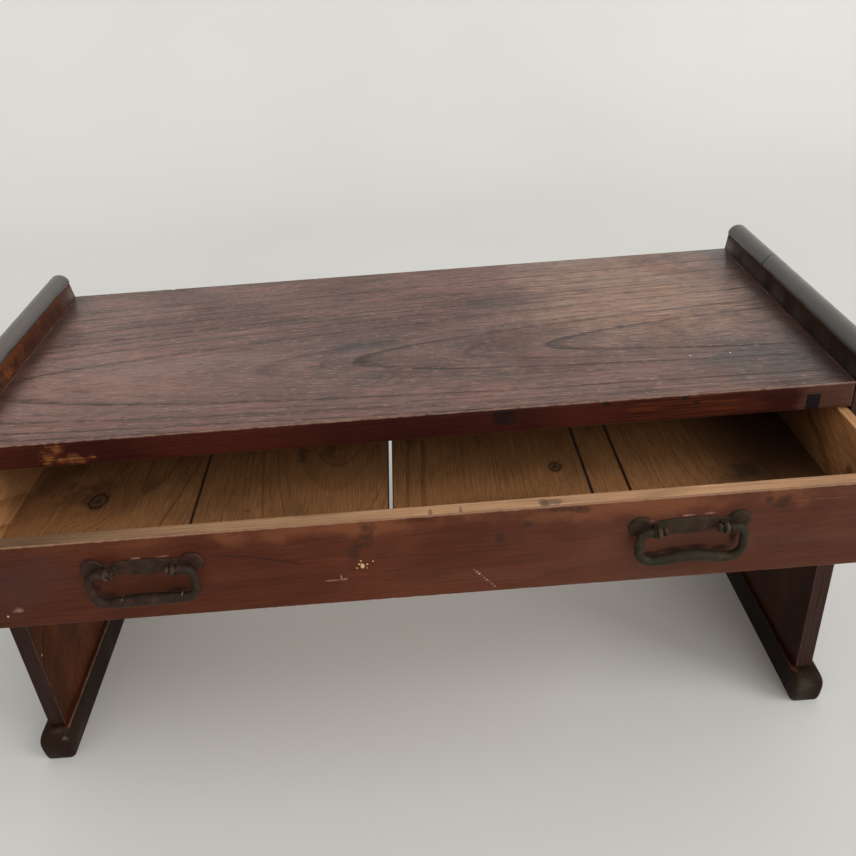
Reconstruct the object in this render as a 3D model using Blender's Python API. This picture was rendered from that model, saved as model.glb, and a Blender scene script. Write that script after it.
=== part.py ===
"""Low Japanese side table: a board top held between two end boards that rise past it
under half-round caps, sled feet, and one full-width drawer with two iron bail handles.

Metres, +Z up. The table stands on z = 0, with its front towards -Y. The drawer is shown
part open, as it is in use, and the origin is under the middle of the whole object."""
import math

import bmesh
import bpy
from mathutils import Matrix, Vector

# Case: the top board between the two end boards
INNER_SPAN = 0.726
CASE_DEPTH = 0.320
TOP_HEIGHT = 0.355
TOP_THICKNESS = 0.023
TOP_EDGE_ROUND = 0.0012
END_BOARD_THICKNESS = 0.016
UPSTAND_HEIGHT = 0.016
UPSTAND_LEAN = 0.0025
BOARD_EDGE_ROUND = 0.0008

# Joints of the case
FIT_GAP = 0.0003
TOP_TENON_COUNT = 3
TOP_TENON_WIDTH = 0.050
TOP_TENON_THICKNESS = 0.010
TOP_TENON_LENGTH = 0.008
FOOT_TENON_COUNT = 2
FOOT_TENON_WIDTH = 0.070
FOOT_TENON_THICKNESS = 0.008
FOOT_TENON_LENGTH = 0.020
CAP_TONGUE_THICKNESS = 0.005
CAP_TONGUE_HEIGHT = 0.004
CAP_TONGUE_STOP = 0.012

# Half-round caps on the end boards. The right one is pieced from two lengths
CAP_WIDTH = 0.021
CAP_HEIGHT = 0.010
CAP_LIP = 0.0008
CAP_ARC_STEPS = 18
CAP_JOINT_FROM_BACK = 0.103
CAP_JOINT_SLANT = 0.010

# Sled feet: an upright inner side, a swept outer side and swept toes
FOOT_HEIGHT = 0.033
FOOT_INNER_LEDGE = 0.0045
FOOT_OUTER_LEDGE = 0.0020
FOOT_OUTER_SWEEP = 0.0065
FOOT_TOE_LEDGE = 0.0020
FOOT_TOE_SWEEP = 0.0135
FOOT_WIDEST_AT = 0.019
FOOT_UNDERCUT = 0.0025
FOOT_CORNER_RADIUS = 0.0045
FOOT_SWEEP_STEPS = 5
FOOT_CORNER_STEPS = 4

# Back board and drawer runners
BACK_BOARD_THICKNESS = 0.010
BACK_BOARD_SETBACK = 0.002
BACK_BOARD_HOUSING = 0.005
RUNNER_WIDTH = 0.012
RUNNER_HEIGHT = 0.014
RUNNER_SETBACK = 0.004
PEG_DIAMETER = 0.006
PEG_DEPTH = 0.008
PEG_FROM_END = 0.050
PEG_SIDES = 16

# Drawer
DRAWER_OPEN = 0.1014
DRAWER_SIDE_CLEARANCE = 0.0015
DRAWER_TOP_CLEARANCE = 0.0025
DRAWER_BACK_CLEARANCE = 0.0010
DRAWER_HEIGHT = 0.0755
DRAWER_FRONT_THICKNESS = 0.013
DRAWER_FRONT_LAP = 0.006
DRAWER_SIDE_THICKNESS = 0.009
DRAWER_BACK_THICKNESS = 0.009
DRAWER_BACK_INSET = 0.006
DRAWER_BACK_DROP = 0.003
DRAWER_BACK_HOUSING = 0.004
FLOOR_THICKNESS = 0.006
FLOOR_RISE = 0.006
FLOOR_GROOVE = 0.004
FLOOR_EDGE_ROUND = 0.0004

# Joints between the drawer's floor boards, from its middle, and how far each has opened
FLOOR_TIGHT_JOINT = 0.0010
FLOOR_SHRUNK_JOINT = 0.0032
FLOOR_JOINTS = (
    (-0.1924, FLOOR_TIGHT_JOINT),
    (-0.0211, FLOOR_SHRUNK_JOINT),
    (0.1517, FLOOR_TIGHT_JOINT),
    (0.1844, FLOOR_TIGHT_JOINT),
)
NAIL_SHANK = 0.0022
NAIL_POINT = 0.0008
NAIL_TAPER = 0.0022
NAIL_HEAD = 0.0050
NAIL_HEAD_THICKNESS = 0.0010
NAIL_BITE = 0.010
NAIL_SIDES = 10

# Handles: a lobed plate, two eyes on split shanks and a hanging bail
HANDLE_SPACING = 0.402
HANDLE_ABOVE_EDGE = 0.0512
PLATE_THICKNESS = 0.0015
PLATE_LOBE_SPACING = 0.0730
PLATE_LOBE_RADIUS = 0.0083
PLATE_NECK_SPACING = 0.0490
PLATE_NECK_HALF = 0.0037
PLATE_MIDDLE_HALF = 0.0071
PLATE_MIDDLE_DROP = 0.0015
PLATE_RIM_ROUND = 0.0004
PLATE_STEPS = 56
EYE_SPACING = 0.0490
EYE_REACH = 0.0085
EYE_RADIUS = 0.0050
EYE_WIDTH = 0.0036
EYE_CORNER = 0.0006
EYE_SIDES = 20
SHANK_SIZE = 0.0044
PRONG_LENGTH = 0.012
PRONG_THICKNESS = 0.0016
BAIL_WIDTH = 0.0770
BAIL_DROP = 0.0267
BAIL_NECK_RADIUS = 0.0022
BAIL_NECK_PLAY = 0.0004
BAIL_BALL_RADIUS = 0.0034
BAIL_BALL_LENGTH = 0.0046
BAIL_BALL_FIRST_ANGLE = 20
BAIL_BALL_LAST_ANGLE = 130
BAIL_BALL_STEPS = 4
BAIL_COLLAR_RADIUS = 0.0041
BAIL_COLLAR_WIDTH = 0.0028
BAIL_COLLAR_RING_COUNT = 2
BAIL_COLLAR_RING_STEPS = 4
BAIL_ARM_RADIUS = 0.0033
BAIL_GRIP_RADIUS = 0.0046
BAIL_GRIP_BOW = {"left": 0.0010, "right": 0.0034}
BAIL_UPPER_BEND = 0.0080
BAIL_LOWER_BEND = 0.0105
BAIL_BEND_STEPS = 5
BAIL_GRIP_STEPS = 6
BAIL_SIDES = 12

# Levels and places that follow from the sizes above
HALF_SPAN = INNER_SPAN / 2
TOP_UNDERSIDE = TOP_HEIGHT - TOP_THICKNESS
CAP_SEAT = TOP_HEIGHT + UPSTAND_HEIGHT
DRAWER_BOTTOM = TOP_UNDERSIDE - DRAWER_TOP_CLEARANCE - DRAWER_HEIGHT
RUNNER_TOP = DRAWER_BOTTOM - FIT_GAP
RUNNER_BOTTOM = RUNNER_TOP - RUNNER_HEIGHT
BACK_BOARD_FRONT = CASE_DEPTH - BACK_BOARD_SETBACK - BACK_BOARD_THICKNESS
DRAWER_DEPTH = BACK_BOARD_FRONT - DRAWER_BACK_CLEARANCE
DRAWER_OUTSIDE = HALF_SPAN - DRAWER_SIDE_CLEARANCE
DRAWER_INSIDE = DRAWER_OUTSIDE - DRAWER_SIDE_THICKNESS
DRAWER_BACK_REAR = DRAWER_DEPTH - DRAWER_BACK_INSET
DRAWER_BACK_FRONT = DRAWER_BACK_REAR - DRAWER_BACK_THICKNESS
FLOOR_TOP = FLOOR_RISE + FLOOR_THICKNESS
FOOT_TOE = FOOT_TOE_LEDGE + FOOT_TOE_SWEEP
HANDLE_REACH = EYE_REACH + max(EYE_RADIUS, BAIL_GRIP_RADIUS)
REAR_LIMIT = CASE_DEPTH + FOOT_TOE
FRONT_LIMIT = -DRAWER_OPEN - HANDLE_REACH
CASE_FRONT = -(REAR_LIMIT + FRONT_LIMIT) / 2
THROUGH = 0.002
SIDES = {"left": -1, "right": 1}


def clear_scene():
    for obj in list(bpy.data.objects):
        bpy.data.objects.remove(obj, do_unlink=True)


def finish(name, colour, roughness, metallic=0.0):
    """A plain surface: base colour, roughness and metallic value."""
    material = bpy.data.materials.new(name)
    material.use_nodes = True
    shader = material.node_tree.nodes["Principled BSDF"]
    shader.inputs["Base Color"].default_value = (*colour, 1.0)
    shader.inputs["Roughness"].default_value = roughness
    shader.inputs["Metallic"].default_value = metallic
    return material


def empty(name, parent, location):
    obj = bpy.data.objects.new(name, None)
    bpy.context.collection.objects.link(obj)
    obj.parent = parent
    obj.location = location
    return obj


def mesh_object(name, bm, parent, location=(0, 0, 0), surface=None):
    """Turns a bmesh into an object with its faces pointing outwards."""
    bmesh.ops.recalc_face_normals(bm, faces=bm.faces)
    mesh = bpy.data.meshes.new(name)
    bm.to_mesh(mesh)
    bm.free()
    obj = bpy.data.objects.new(name, mesh)
    bpy.context.collection.objects.link(obj)
    obj.parent = parent
    obj.location = location
    if surface:
        mesh.materials.append(surface)
    return obj


def shade_round(obj, sharp_degrees=35):
    obj.data.shade_smooth()
    obj.data.set_sharp_from_angle(angle=math.radians(sharp_degrees))


def add_box(bm, low, high):
    low = Vector(low)
    high = Vector(high)
    size = high - low
    place = Matrix.Translation((low + high) / 2) @ Matrix.Diagonal((*size, 1.0))
    bmesh.ops.create_cube(bm, size=1.0, matrix=place)


def add_rod(bm, axis, start, length, radius, sides):
    """A closed rod from start along +X, +Y or +Z."""
    turn = {"X": Matrix.Rotation(math.pi / 2, 4, "Y"), "Y": Matrix.Rotation(-math.pi / 2, 4, "X"),
            "Z": Matrix.Identity(4)}[axis]
    middle = Vector(start) + turn.to_3x3() @ Vector((0, 0, length / 2))
    bmesh.ops.create_cone(bm, cap_ends=True, segments=sides, radius1=radius, radius2=radius,
                          depth=length, matrix=Matrix.Translation(middle) @ turn)


def add_prism(bm, outline, place, depth):
    """Extrudes a closed outline. place(u, v, w) gives the point for w from 0 to depth."""
    near = [bm.verts.new(place(u, v, 0.0)) for u, v in outline]
    far = [bm.verts.new(place(u, v, depth)) for u, v in outline]
    bm.faces.new(near)
    bm.faces.new(reversed(far))
    for i in range(len(outline)):
        j = (i + 1) % len(outline)
        bm.faces.new((near[i], far[i], far[j], near[j]))


def add_loft(bm, rings):
    """Skins rings of equal length and closes both ends."""
    loops = [[bm.verts.new(point) for point in ring] for ring in rings]
    for lower, upper in zip(loops, loops[1:]):
        for i in range(len(lower)):
            j = (i + 1) % len(lower)
            bm.faces.new((lower[i], lower[j], upper[j], upper[i]))
    bm.faces.new(loops[0])
    bm.faces.new(loops[-1])


def board(name, low, high, parent, surface, edge_round=BOARD_EDGE_ROUND):
    """A sawn board between two corners, with its edges eased."""
    low = Vector(low)
    high = Vector(high)
    middle = (low + high) / 2
    bm = bmesh.new()
    add_box(bm, low - middle, high - middle)
    obj = mesh_object(name, bm, parent, middle, surface)
    ease_edges(obj, edge_round)
    return obj


def ease_edges(obj, width, segments=2):
    bevel = obj.modifiers.new("eased_edges", "BEVEL")
    bevel.width = width
    bevel.segments = segments
    bevel.limit_method = "ANGLE"
    bevel.angle_limit = math.radians(50)


def shape_tool(name, parent, boxes=(), rods=()):
    """A hidden shape that cuts or joins: boxes by corners, rods by axis, start, length, radius."""
    bm = bmesh.new()
    for low, high in boxes:
        add_box(bm, low, high)
    for axis, start, length, radius, sides in rods:
        add_rod(bm, axis, start, length, radius, sides)
    obj = mesh_object(name, bm, parent)
    obj.hide_render = True
    obj.display_type = "WIRE"
    return obj


def combine(obj, tool, operation):
    boolean = obj.modifiers.new(tool.name, "BOOLEAN")
    boolean.operation = operation
    boolean.solver = "EXACT"
    boolean.object = tool


def span(a, b):
    return min(a, b), max(a, b)


def side_box(side, near, far, y_range, z_range):
    """A box on one side of the table, between two distances from the middle plane."""
    x_low, x_high = span(side * near, side * far)
    return (x_low, y_range[0], z_range[0]), (x_high, y_range[1], z_range[1])


def even_places(count, length, width):
    """Starts of count equal pieces spread evenly over a length."""
    space = (length - count * width) / (count + 1)
    return [space + i * (width + space) for i in range(count)]


def top_tenon_boxes(side, grow):
    """Stub tenons on the top board's end, or the mortises for them with grow as clearance."""
    middle = TOP_HEIGHT - TOP_THICKNESS / 2
    half = TOP_TENON_THICKNESS / 2 + grow
    starts = even_places(TOP_TENON_COUNT, CASE_DEPTH, TOP_TENON_WIDTH)
    root = HALF_SPAN - THROUGH
    tip = HALF_SPAN + TOP_TENON_LENGTH + grow
    z_range = (middle - half, middle + half)
    return [side_box(side, root, tip, (y - grow, y + TOP_TENON_WIDTH + grow), z_range) for y in starts]


def foot_tenon_boxes(side, grow):
    """Tenons under the end board, or the mortises for them in the foot."""
    middle = HALF_SPAN + END_BOARD_THICKNESS / 2
    half = FOOT_TENON_THICKNESS / 2 + grow
    starts = even_places(FOOT_TENON_COUNT, CASE_DEPTH, FOOT_TENON_WIDTH)
    z_range = (FOOT_HEIGHT - FOOT_TENON_LENGTH - grow, FOOT_HEIGHT + THROUGH)
    return [side_box(side, middle - half, middle + half, (y - grow, y + FOOT_TENON_WIDTH + grow), z_range)
            for y in starts]


def cap_tongue_box(side, grow):
    """Stopped tongue on the end board's top edge, or the groove for it in the cap."""
    seat_inner = HALF_SPAN + UPSTAND_LEAN
    middle = (seat_inner + HALF_SPAN + END_BOARD_THICKNESS) / 2
    half = CAP_TONGUE_THICKNESS / 2 + grow
    y_range = (CAP_TONGUE_STOP - grow, CASE_DEPTH - CAP_TONGUE_STOP + grow)
    z_range = (CAP_SEAT - THROUGH, CAP_SEAT + CAP_TONGUE_HEIGHT + grow)
    return side_box(side, middle - half, middle + half, y_range, z_range)


def peg_places():
    first = RUNNER_SETBACK + PEG_FROM_END
    last = BACK_BOARD_FRONT - FIT_GAP - PEG_FROM_END
    return {"front": first, "back": last}


def peg_rods(side, grow):
    """Holes for the runner pegs, from inside the runner into the end board."""
    height = (RUNNER_TOP + RUNNER_BOTTOM) / 2
    length = RUNNER_WIDTH + FIT_GAP + PEG_DEPTH + THROUGH + grow
    inner = HALF_SPAN - FIT_GAP - RUNNER_WIDTH - THROUGH
    start = inner if side > 0 else -inner - length
    return [("X", (start, y, height), length, PEG_DIAMETER / 2 + grow, PEG_SIDES)
            for y in peg_places().values()]


def build_top_board(table, surface):
    end = HALF_SPAN - FIT_GAP
    top = board("top_board", (-end, 0, TOP_UNDERSIDE), (end, CASE_DEPTH, TOP_HEIGHT), table, surface,
                TOP_EDGE_ROUND)
    tenons = top_tenon_boxes(-1, 0.0) + top_tenon_boxes(1, 0.0)
    combine(top, shape_tool("top_board_tenons", table, tenons), "UNION")


def build_end_board(name, side, table, surface):
    """Upright board with tenons below, a leaning upstand above the top, and its housings."""
    inner = HALF_SPAN
    outer = HALF_SPAN + END_BOARD_THICKNESS
    foot = FOOT_HEIGHT + FIT_GAP
    outline = [(inner, foot), (inner, TOP_HEIGHT), (inner + UPSTAND_LEAN, CAP_SEAT),
               (outer, CAP_SEAT), (outer, foot)]
    bm = bmesh.new()
    add_prism(bm, outline, lambda u, v, w: (side * u, w, v), CASE_DEPTH)
    end_board = mesh_object(f"end_board_{name}", bm, table, surface=surface)
    ease_edges(end_board, BOARD_EDGE_ROUND)

    joined = foot_tenon_boxes(side, 0.0) + [cap_tongue_box(side, 0.0)]
    combine(end_board, shape_tool(f"end_board_{name}_tenons", table, joined), "UNION")

    housing_y = (BACK_BOARD_FRONT - FIT_GAP, CASE_DEPTH - BACK_BOARD_SETBACK + FIT_GAP)
    housing_z = (RUNNER_BOTTOM - FIT_GAP, TOP_UNDERSIDE)
    housing = side_box(side, inner - THROUGH, inner + BACK_BOARD_HOUSING + FIT_GAP, housing_y, housing_z)
    cuts = shape_tool(f"end_board_{name}_cuts", table, top_tenon_boxes(side, FIT_GAP) + [housing],
                      peg_rods(side, FIT_GAP))
    combine(end_board, cuts, "DIFFERENCE")


def cap_profile():
    """Half-round section, from its inner lower edge over the top to its outer lower edge."""
    inner = HALF_SPAN + UPSTAND_LEAN - CAP_LIP
    middle = inner + CAP_WIDTH / 2
    seat = CAP_SEAT + FIT_GAP
    rise = CAP_HEIGHT - FIT_GAP
    points = []
    for i in range(CAP_ARC_STEPS + 1):
        angle = math.pi * i / CAP_ARC_STEPS
        points.append((middle - CAP_WIDTH / 2 * math.cos(angle), seat + rise * math.sin(angle)))
    return points


def build_cap(name, side, y_near, y_far, table, surface):
    """One length of cap. y_near and y_far give an end's place for a distance from the middle."""
    outline = cap_profile()
    bm = bmesh.new()
    add_prism(bm, outline, lambda u, v, w: (side * u, y_far(u) if w else y_near(u), v), 1.0)
    cap = mesh_object(name, bm, table, surface=surface)
    shade_round(cap)
    combine(cap, shape_tool(f"{name}_groove", table, [cap_tongue_box(side, FIT_GAP)]), "DIFFERENCE")


def build_caps(table, surface):
    inner = HALF_SPAN + UPSTAND_LEAN - CAP_LIP
    slope = CAP_JOINT_SLANT / CAP_WIDTH

    def joint(u):
        return CASE_DEPTH - CAP_JOINT_FROM_BACK + slope * (u - inner)

    build_cap("end_cap_left", -1, lambda u: 0.0, lambda u: CASE_DEPTH, table, surface)
    build_cap("end_cap_right_front", 1, lambda u: 0.0, lambda u: joint(u) - FIT_GAP, table, surface)
    build_cap("end_cap_right_back", 1, joint, lambda u: CASE_DEPTH, table, surface)


def foot_ring(side, z, outer_in, toe_in):
    """One level of the foot: a rectangle with round corners, drawn in at the outer side and toes."""
    x_inner = HALF_SPAN - FOOT_INNER_LEDGE
    x_outer = HALF_SPAN + END_BOARD_THICKNESS + FOOT_OUTER_LEDGE + FOOT_OUTER_SWEEP - outer_in
    y_front = -FOOT_TOE + toe_in
    y_back = CASE_DEPTH + FOOT_TOE - toe_in
    r = FOOT_CORNER_RADIUS
    corners = [(x_outer - r, y_back - r, 0), (x_inner + r, y_back - r, 90),
               (x_inner + r, y_front + r, 180), (x_outer - r, y_front + r, 270)]
    ring = []
    for cx, cy, start in corners:
        for i in range(FOOT_CORNER_STEPS + 1):
            angle = math.radians(start + 90 * i / FOOT_CORNER_STEPS)
            ring.append((side * (cx + r * math.cos(angle)), cy + r * math.sin(angle), z))
    return ring


def build_foot(name, side, table, surface):
    """Sled foot: drawn in slightly at the floor, widest below half height, swept in to the top."""
    rings = [foot_ring(side, 0.0, FOOT_UNDERCUT, FOOT_UNDERCUT)]
    for i in range(1, FOOT_SWEEP_STEPS):
        turn = math.pi / 2 * i / FOOT_SWEEP_STEPS
        drawn = FOOT_UNDERCUT * (1 - math.sin(turn))
        rings.append(foot_ring(side, FOOT_WIDEST_AT * (1 - math.cos(turn)), drawn, drawn))
    for i in range(FOOT_SWEEP_STEPS + 1):
        turn = math.pi / 2 * i / FOOT_SWEEP_STEPS
        z = FOOT_WIDEST_AT + (FOOT_HEIGHT - FOOT_WIDEST_AT) * math.sin(turn)
        drawn = 1 - math.cos(turn)
        rings.append(foot_ring(side, z, FOOT_OUTER_SWEEP * drawn, FOOT_TOE_SWEEP * drawn))
    bm = bmesh.new()
    add_loft(bm, rings)
    foot = mesh_object(f"foot_{name}", bm, table, surface=surface)
    shade_round(foot)
    mortises = foot_tenon_boxes(side, FIT_GAP)
    combine(foot, shape_tool(f"foot_{name}_mortises", table, mortises), "DIFFERENCE")


def build_back_board(table, surface):
    end = HALF_SPAN + BACK_BOARD_HOUSING
    board("back_board", (-end, BACK_BOARD_FRONT, RUNNER_BOTTOM),
          (end, BACK_BOARD_FRONT + BACK_BOARD_THICKNESS, TOP_UNDERSIDE - FIT_GAP), table, surface)


def turned(name, profile, sides, parent, location, surface):
    """A round piece about Z from radius and height pairs, closed at both ends."""
    rings = []
    for radius, z in profile:
        turns = [2 * math.pi * i / sides for i in range(sides)]
        rings.append([(radius * math.cos(a), radius * math.sin(a), z) for a in turns])
    bm = bmesh.new()
    add_loft(bm, rings)
    obj = mesh_object(name, bm, parent, location, surface)
    shade_round(obj)
    return obj


def build_runner(name, side, table, surface, peg_surface):
    """Strip that the drawer's side slides on, pegged to the end board."""
    low, high = side_box(side, HALF_SPAN - FIT_GAP - RUNNER_WIDTH, HALF_SPAN - FIT_GAP,
                         (RUNNER_SETBACK, BACK_BOARD_FRONT - FIT_GAP), (RUNNER_BOTTOM, RUNNER_TOP))
    runner = board(f"drawer_runner_{name}", low, high, table, surface)
    holes = shape_tool(f"drawer_runner_{name}_holes", table, rods=peg_rods(side, FIT_GAP))
    combine(runner, holes, "DIFFERENCE")
    length = RUNNER_WIDTH + FIT_GAP + PEG_DEPTH
    start = HALF_SPAN - FIT_GAP - RUNNER_WIDTH
    radius = PEG_DIAMETER / 2
    for end, y in peg_places().items():
        place = (side * start, y, (RUNNER_TOP + RUNNER_BOTTOM) / 2)
        peg = turned(f"runner_peg_{name}_{end}", [(radius, 0.0), (radius, length)], PEG_SIDES, table, place,
                     peg_surface)
        peg.rotation_euler = (0, side * math.pi / 2, 0)


def shank_places():
    """Middle of each handle shank, as the handle's side, its number and its distance across."""
    places = []
    for name, side in SIDES.items():
        for number, offset in ((1, -EYE_SPACING / 2), (2, EYE_SPACING / 2)):
            places.append((name, number, side * HANDLE_SPACING / 2 + offset))
    return places


def shank_boxes(y_low, y_high):
    """Square holes for the handle shanks between two depths."""
    half = SHANK_SIZE / 2 + FIT_GAP
    return [((x - half, y_low, HANDLE_ABOVE_EDGE - half), (x + half, y_high, HANDLE_ABOVE_EDGE + half))
            for _, _, x in shank_places()]


def floor_groove_range():
    return FLOOR_RISE - FIT_GAP, FLOOR_TOP + FIT_GAP


def build_drawer_front(drawer, surface):
    """Front board, rebated at its ends for the sides and grooved for the floor."""
    outer_corner = (DRAWER_OUTSIDE, DRAWER_FRONT_THICKNESS, DRAWER_HEIGHT)
    front = board("drawer_front", (-DRAWER_OUTSIDE, 0, 0), outer_corner, drawer, surface)
    inside = DRAWER_FRONT_THICKNESS + THROUGH
    rebates = []
    for side in SIDES.values():
        rebates.append(side_box(side, DRAWER_INSIDE - FIT_GAP, DRAWER_OUTSIDE + THROUGH,
                                (DRAWER_FRONT_LAP, inside), (-THROUGH, DRAWER_HEIGHT + THROUGH)))
    combine(front, shape_tool("drawer_front_rebates", drawer, rebates), "DIFFERENCE")
    groove_bottom, groove_top = floor_groove_range()
    groove = ((-DRAWER_INSIDE, DRAWER_FRONT_THICKNESS - FLOOR_GROOVE, groove_bottom),
              (DRAWER_INSIDE, inside, groove_top))
    combine(front, shape_tool("drawer_front_groove", drawer, [groove]), "DIFFERENCE")
    holes = shank_boxes(-THROUGH, inside)
    combine(front, shape_tool("drawer_front_shank_holes", drawer, holes), "DIFFERENCE")


def build_drawer_side(name, side, drawer, surface):
    low, high = side_box(side, DRAWER_INSIDE, DRAWER_OUTSIDE, (DRAWER_FRONT_LAP + FIT_GAP, DRAWER_DEPTH),
                         (0.0, DRAWER_HEIGHT))
    drawer_side = board(f"drawer_side_{name}", low, high, drawer, surface)
    groove = side_box(side, DRAWER_INSIDE - THROUGH, DRAWER_INSIDE + FLOOR_GROOVE,
                      (-THROUGH, DRAWER_DEPTH + THROUGH), floor_groove_range())
    combine(drawer_side, shape_tool(f"drawer_side_{name}_groove", drawer, [groove]), "DIFFERENCE")
    housing = side_box(side, DRAWER_INSIDE - THROUGH, DRAWER_INSIDE + DRAWER_BACK_HOUSING,
                       (DRAWER_BACK_FRONT - FIT_GAP, DRAWER_BACK_REAR + FIT_GAP),
                       (FLOOR_TOP, DRAWER_HEIGHT + THROUGH))
    combine(drawer_side, shape_tool(f"drawer_side_{name}_housing", drawer, [housing]), "DIFFERENCE")


def floor_board_spans():
    """Left and right edge of each floor board, from the joints and how far they have opened."""
    limit = DRAWER_INSIDE + FLOOR_GROOVE - FIT_GAP
    edges = [-limit]
    for joint, opening in FLOOR_JOINTS:
        edges += [joint - opening / 2, joint + opening / 2]
    edges.append(limit)
    return list(zip(edges[0::2], edges[1::2]))


def nail_places():
    y = (DRAWER_BACK_FRONT + DRAWER_BACK_REAR) / 2
    return [((left + right) / 2, y) for left, right in floor_board_spans()]


def build_drawer_back(drawer, surface):
    end = DRAWER_INSIDE + DRAWER_BACK_HOUSING - FIT_GAP
    bottom = FLOOR_TOP + FIT_GAP
    back = board("drawer_back", (-end, DRAWER_BACK_FRONT, bottom),
                 (end, DRAWER_BACK_REAR, DRAWER_HEIGHT - DRAWER_BACK_DROP), drawer, surface)
    length = THROUGH + NAIL_BITE + FIT_GAP
    radius = NAIL_SHANK / 2 + FIT_GAP
    rods = [("Z", (x, y, bottom - THROUGH), length, radius, NAIL_SIDES) for x, y in nail_places()]
    combine(back, shape_tool("drawer_back_nail_holes", drawer, rods=rods), "DIFFERENCE")


def build_drawer_floor(drawer, surface, nail_surface):
    """Floor boards that run front to back, held in grooves and nailed up into the drawer's back."""
    front = DRAWER_FRONT_THICKNESS - FLOOR_GROOVE + FIT_GAP
    under = FLOOR_RISE - THROUGH
    head = NAIL_HEAD / 2
    shank = NAIL_SHANK / 2
    tip = FLOOR_THICKNESS + FIT_GAP + NAIL_BITE
    nail = [(head, 0.0), (head, NAIL_HEAD_THICKNESS), (shank, NAIL_HEAD_THICKNESS),
            (shank, tip - NAIL_TAPER), (NAIL_POINT / 2, tip)]
    for number, ((left, right), (x, y)) in enumerate(zip(floor_board_spans(), nail_places()), start=1):
        plank = board(f"drawer_floor_board_{number}", (left, front, FLOOR_RISE),
                      (right, DRAWER_BACK_REAR, FLOOR_TOP), drawer, surface, FLOOR_EDGE_ROUND)
        hole = ("Z", (x, y, under), FLOOR_THICKNESS + 2 * THROUGH, shank + FIT_GAP, NAIL_SIDES)
        sink = ("Z", (x, y, under), THROUGH + NAIL_HEAD_THICKNESS + FIT_GAP, head + FIT_GAP, NAIL_SIDES)
        combine(plank, shape_tool(f"floor_board_{number}_nail_sink", drawer, rods=[sink]), "DIFFERENCE")
        combine(plank, shape_tool(f"floor_board_{number}_nail_hole", drawer, rods=[hole]), "DIFFERENCE")
        turned(f"floor_nail_{number}", nail, NAIL_SIDES, drawer, (x, y, FLOOR_RISE), nail_surface)


def plate_edges(x):
    """Lower and upper edge of a handle plate at a distance from its middle."""
    away = abs(x)
    neck = PLATE_NECK_SPACING / 2
    lobe = PLATE_LOBE_SPACING / 2
    if away <= neck:
        wave = 0.5 + 0.5 * math.cos(math.pi * away / neck)
        half = PLATE_NECK_HALF + (PLATE_MIDDLE_HALF - PLATE_NECK_HALF) * math.sqrt(wave)
        middle = -PLATE_MIDDLE_DROP * wave
    else:
        inside = max(PLATE_LOBE_RADIUS ** 2 - (away - lobe) ** 2, 0.0)
        half = math.sqrt(inside)
        if away < lobe:
            half = max(half, PLATE_NECK_HALF)
        middle = 0.0
    return middle - half, middle + half


def build_handle_plate(name, side, drawer, surface):
    """Thin iron plate with a round lobe at each end, pierced for the two shanks."""
    reach = PLATE_LOBE_SPACING / 2 + PLATE_LOBE_RADIUS
    stations = [-reach * math.cos(math.pi * i / PLATE_STEPS) for i in range(PLATE_STEPS + 1)]
    lower = [(x, plate_edges(x)[0]) for x in stations]
    upper = [(x, plate_edges(x)[1]) for x in reversed(stations[1:-1])]
    front = -FIT_GAP - PLATE_THICKNESS
    bm = bmesh.new()
    add_prism(bm, lower + upper, lambda u, v, w: (u, front + w, v), PLATE_THICKNESS)
    place = (side * HANDLE_SPACING / 2, 0.0, HANDLE_ABOVE_EDGE)
    plate = mesh_object(f"handle_plate_{name}", bm, drawer, place, surface)
    ease_edges(plate, PLATE_RIM_ROUND, segments=1)
    holes = shape_tool(f"handle_plate_{name}_holes", drawer, shank_boxes(front - THROUGH, THROUGH))
    combine(plate, holes, "DIFFERENCE")


def build_handle_eye(name, number, x, drawer, surface):
    """An eye for the bail on a square shank whose prongs are bent over inside the drawer front."""
    bm = bmesh.new()
    add_rod(bm, "X", (-EYE_WIDTH / 2, -EYE_REACH, 0.0), EYE_WIDTH, EYE_RADIUS, EYE_SIDES)
    eye = mesh_object(f"handle_eye_{name}_{number}", bm, drawer, (x, 0.0, HANDLE_ABOVE_EDGE), surface)
    ease_edges(eye, EYE_CORNER)
    shade_round(eye)

    half = SHANK_SIZE / 2
    inside = DRAWER_FRONT_THICKNESS + FIT_GAP
    clinch = inside + PRONG_THICKNESS
    neck = -EYE_REACH + BAIL_NECK_RADIUS
    outline = [(neck, -half), (inside, -half), (inside, -PRONG_LENGTH), (clinch, -PRONG_LENGTH),
               (clinch, PRONG_LENGTH), (inside, PRONG_LENGTH), (inside, half), (neck, half)]
    bm = bmesh.new()
    add_prism(bm, outline, lambda u, v, w: (w - half, u, v), SHANK_SIZE)
    shank = mesh_object(f"handle_eye_{name}_{number}_shank", bm, drawer, (x, 0.0, HANDLE_ABOVE_EDGE))
    shank.hide_render = True
    shank.display_type = "WIRE"
    combine(eye, shank, "UNION")

    bore_start = (x - EYE_WIDTH, -EYE_REACH, HANDLE_ABOVE_EDGE)
    bore = ("X", bore_start, 2 * EYE_WIDTH, BAIL_NECK_RADIUS + FIT_GAP, EYE_SIDES)
    combine(eye, shape_tool(f"handle_eye_{name}_{number}_bore", drawer, rods=[bore]), "DIFFERENCE")


def arc_points(centre, radius, start, end, steps):
    """Points on an arc in the bail's plane, angles in degrees, without the first point."""
    points = []
    for i in range(1, steps + 1):
        angle = math.radians(start + (end - start) * i / steps)
        points.append((centre[0] + radius * math.cos(angle), centre[1] + radius * math.sin(angle)))
    return points


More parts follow.
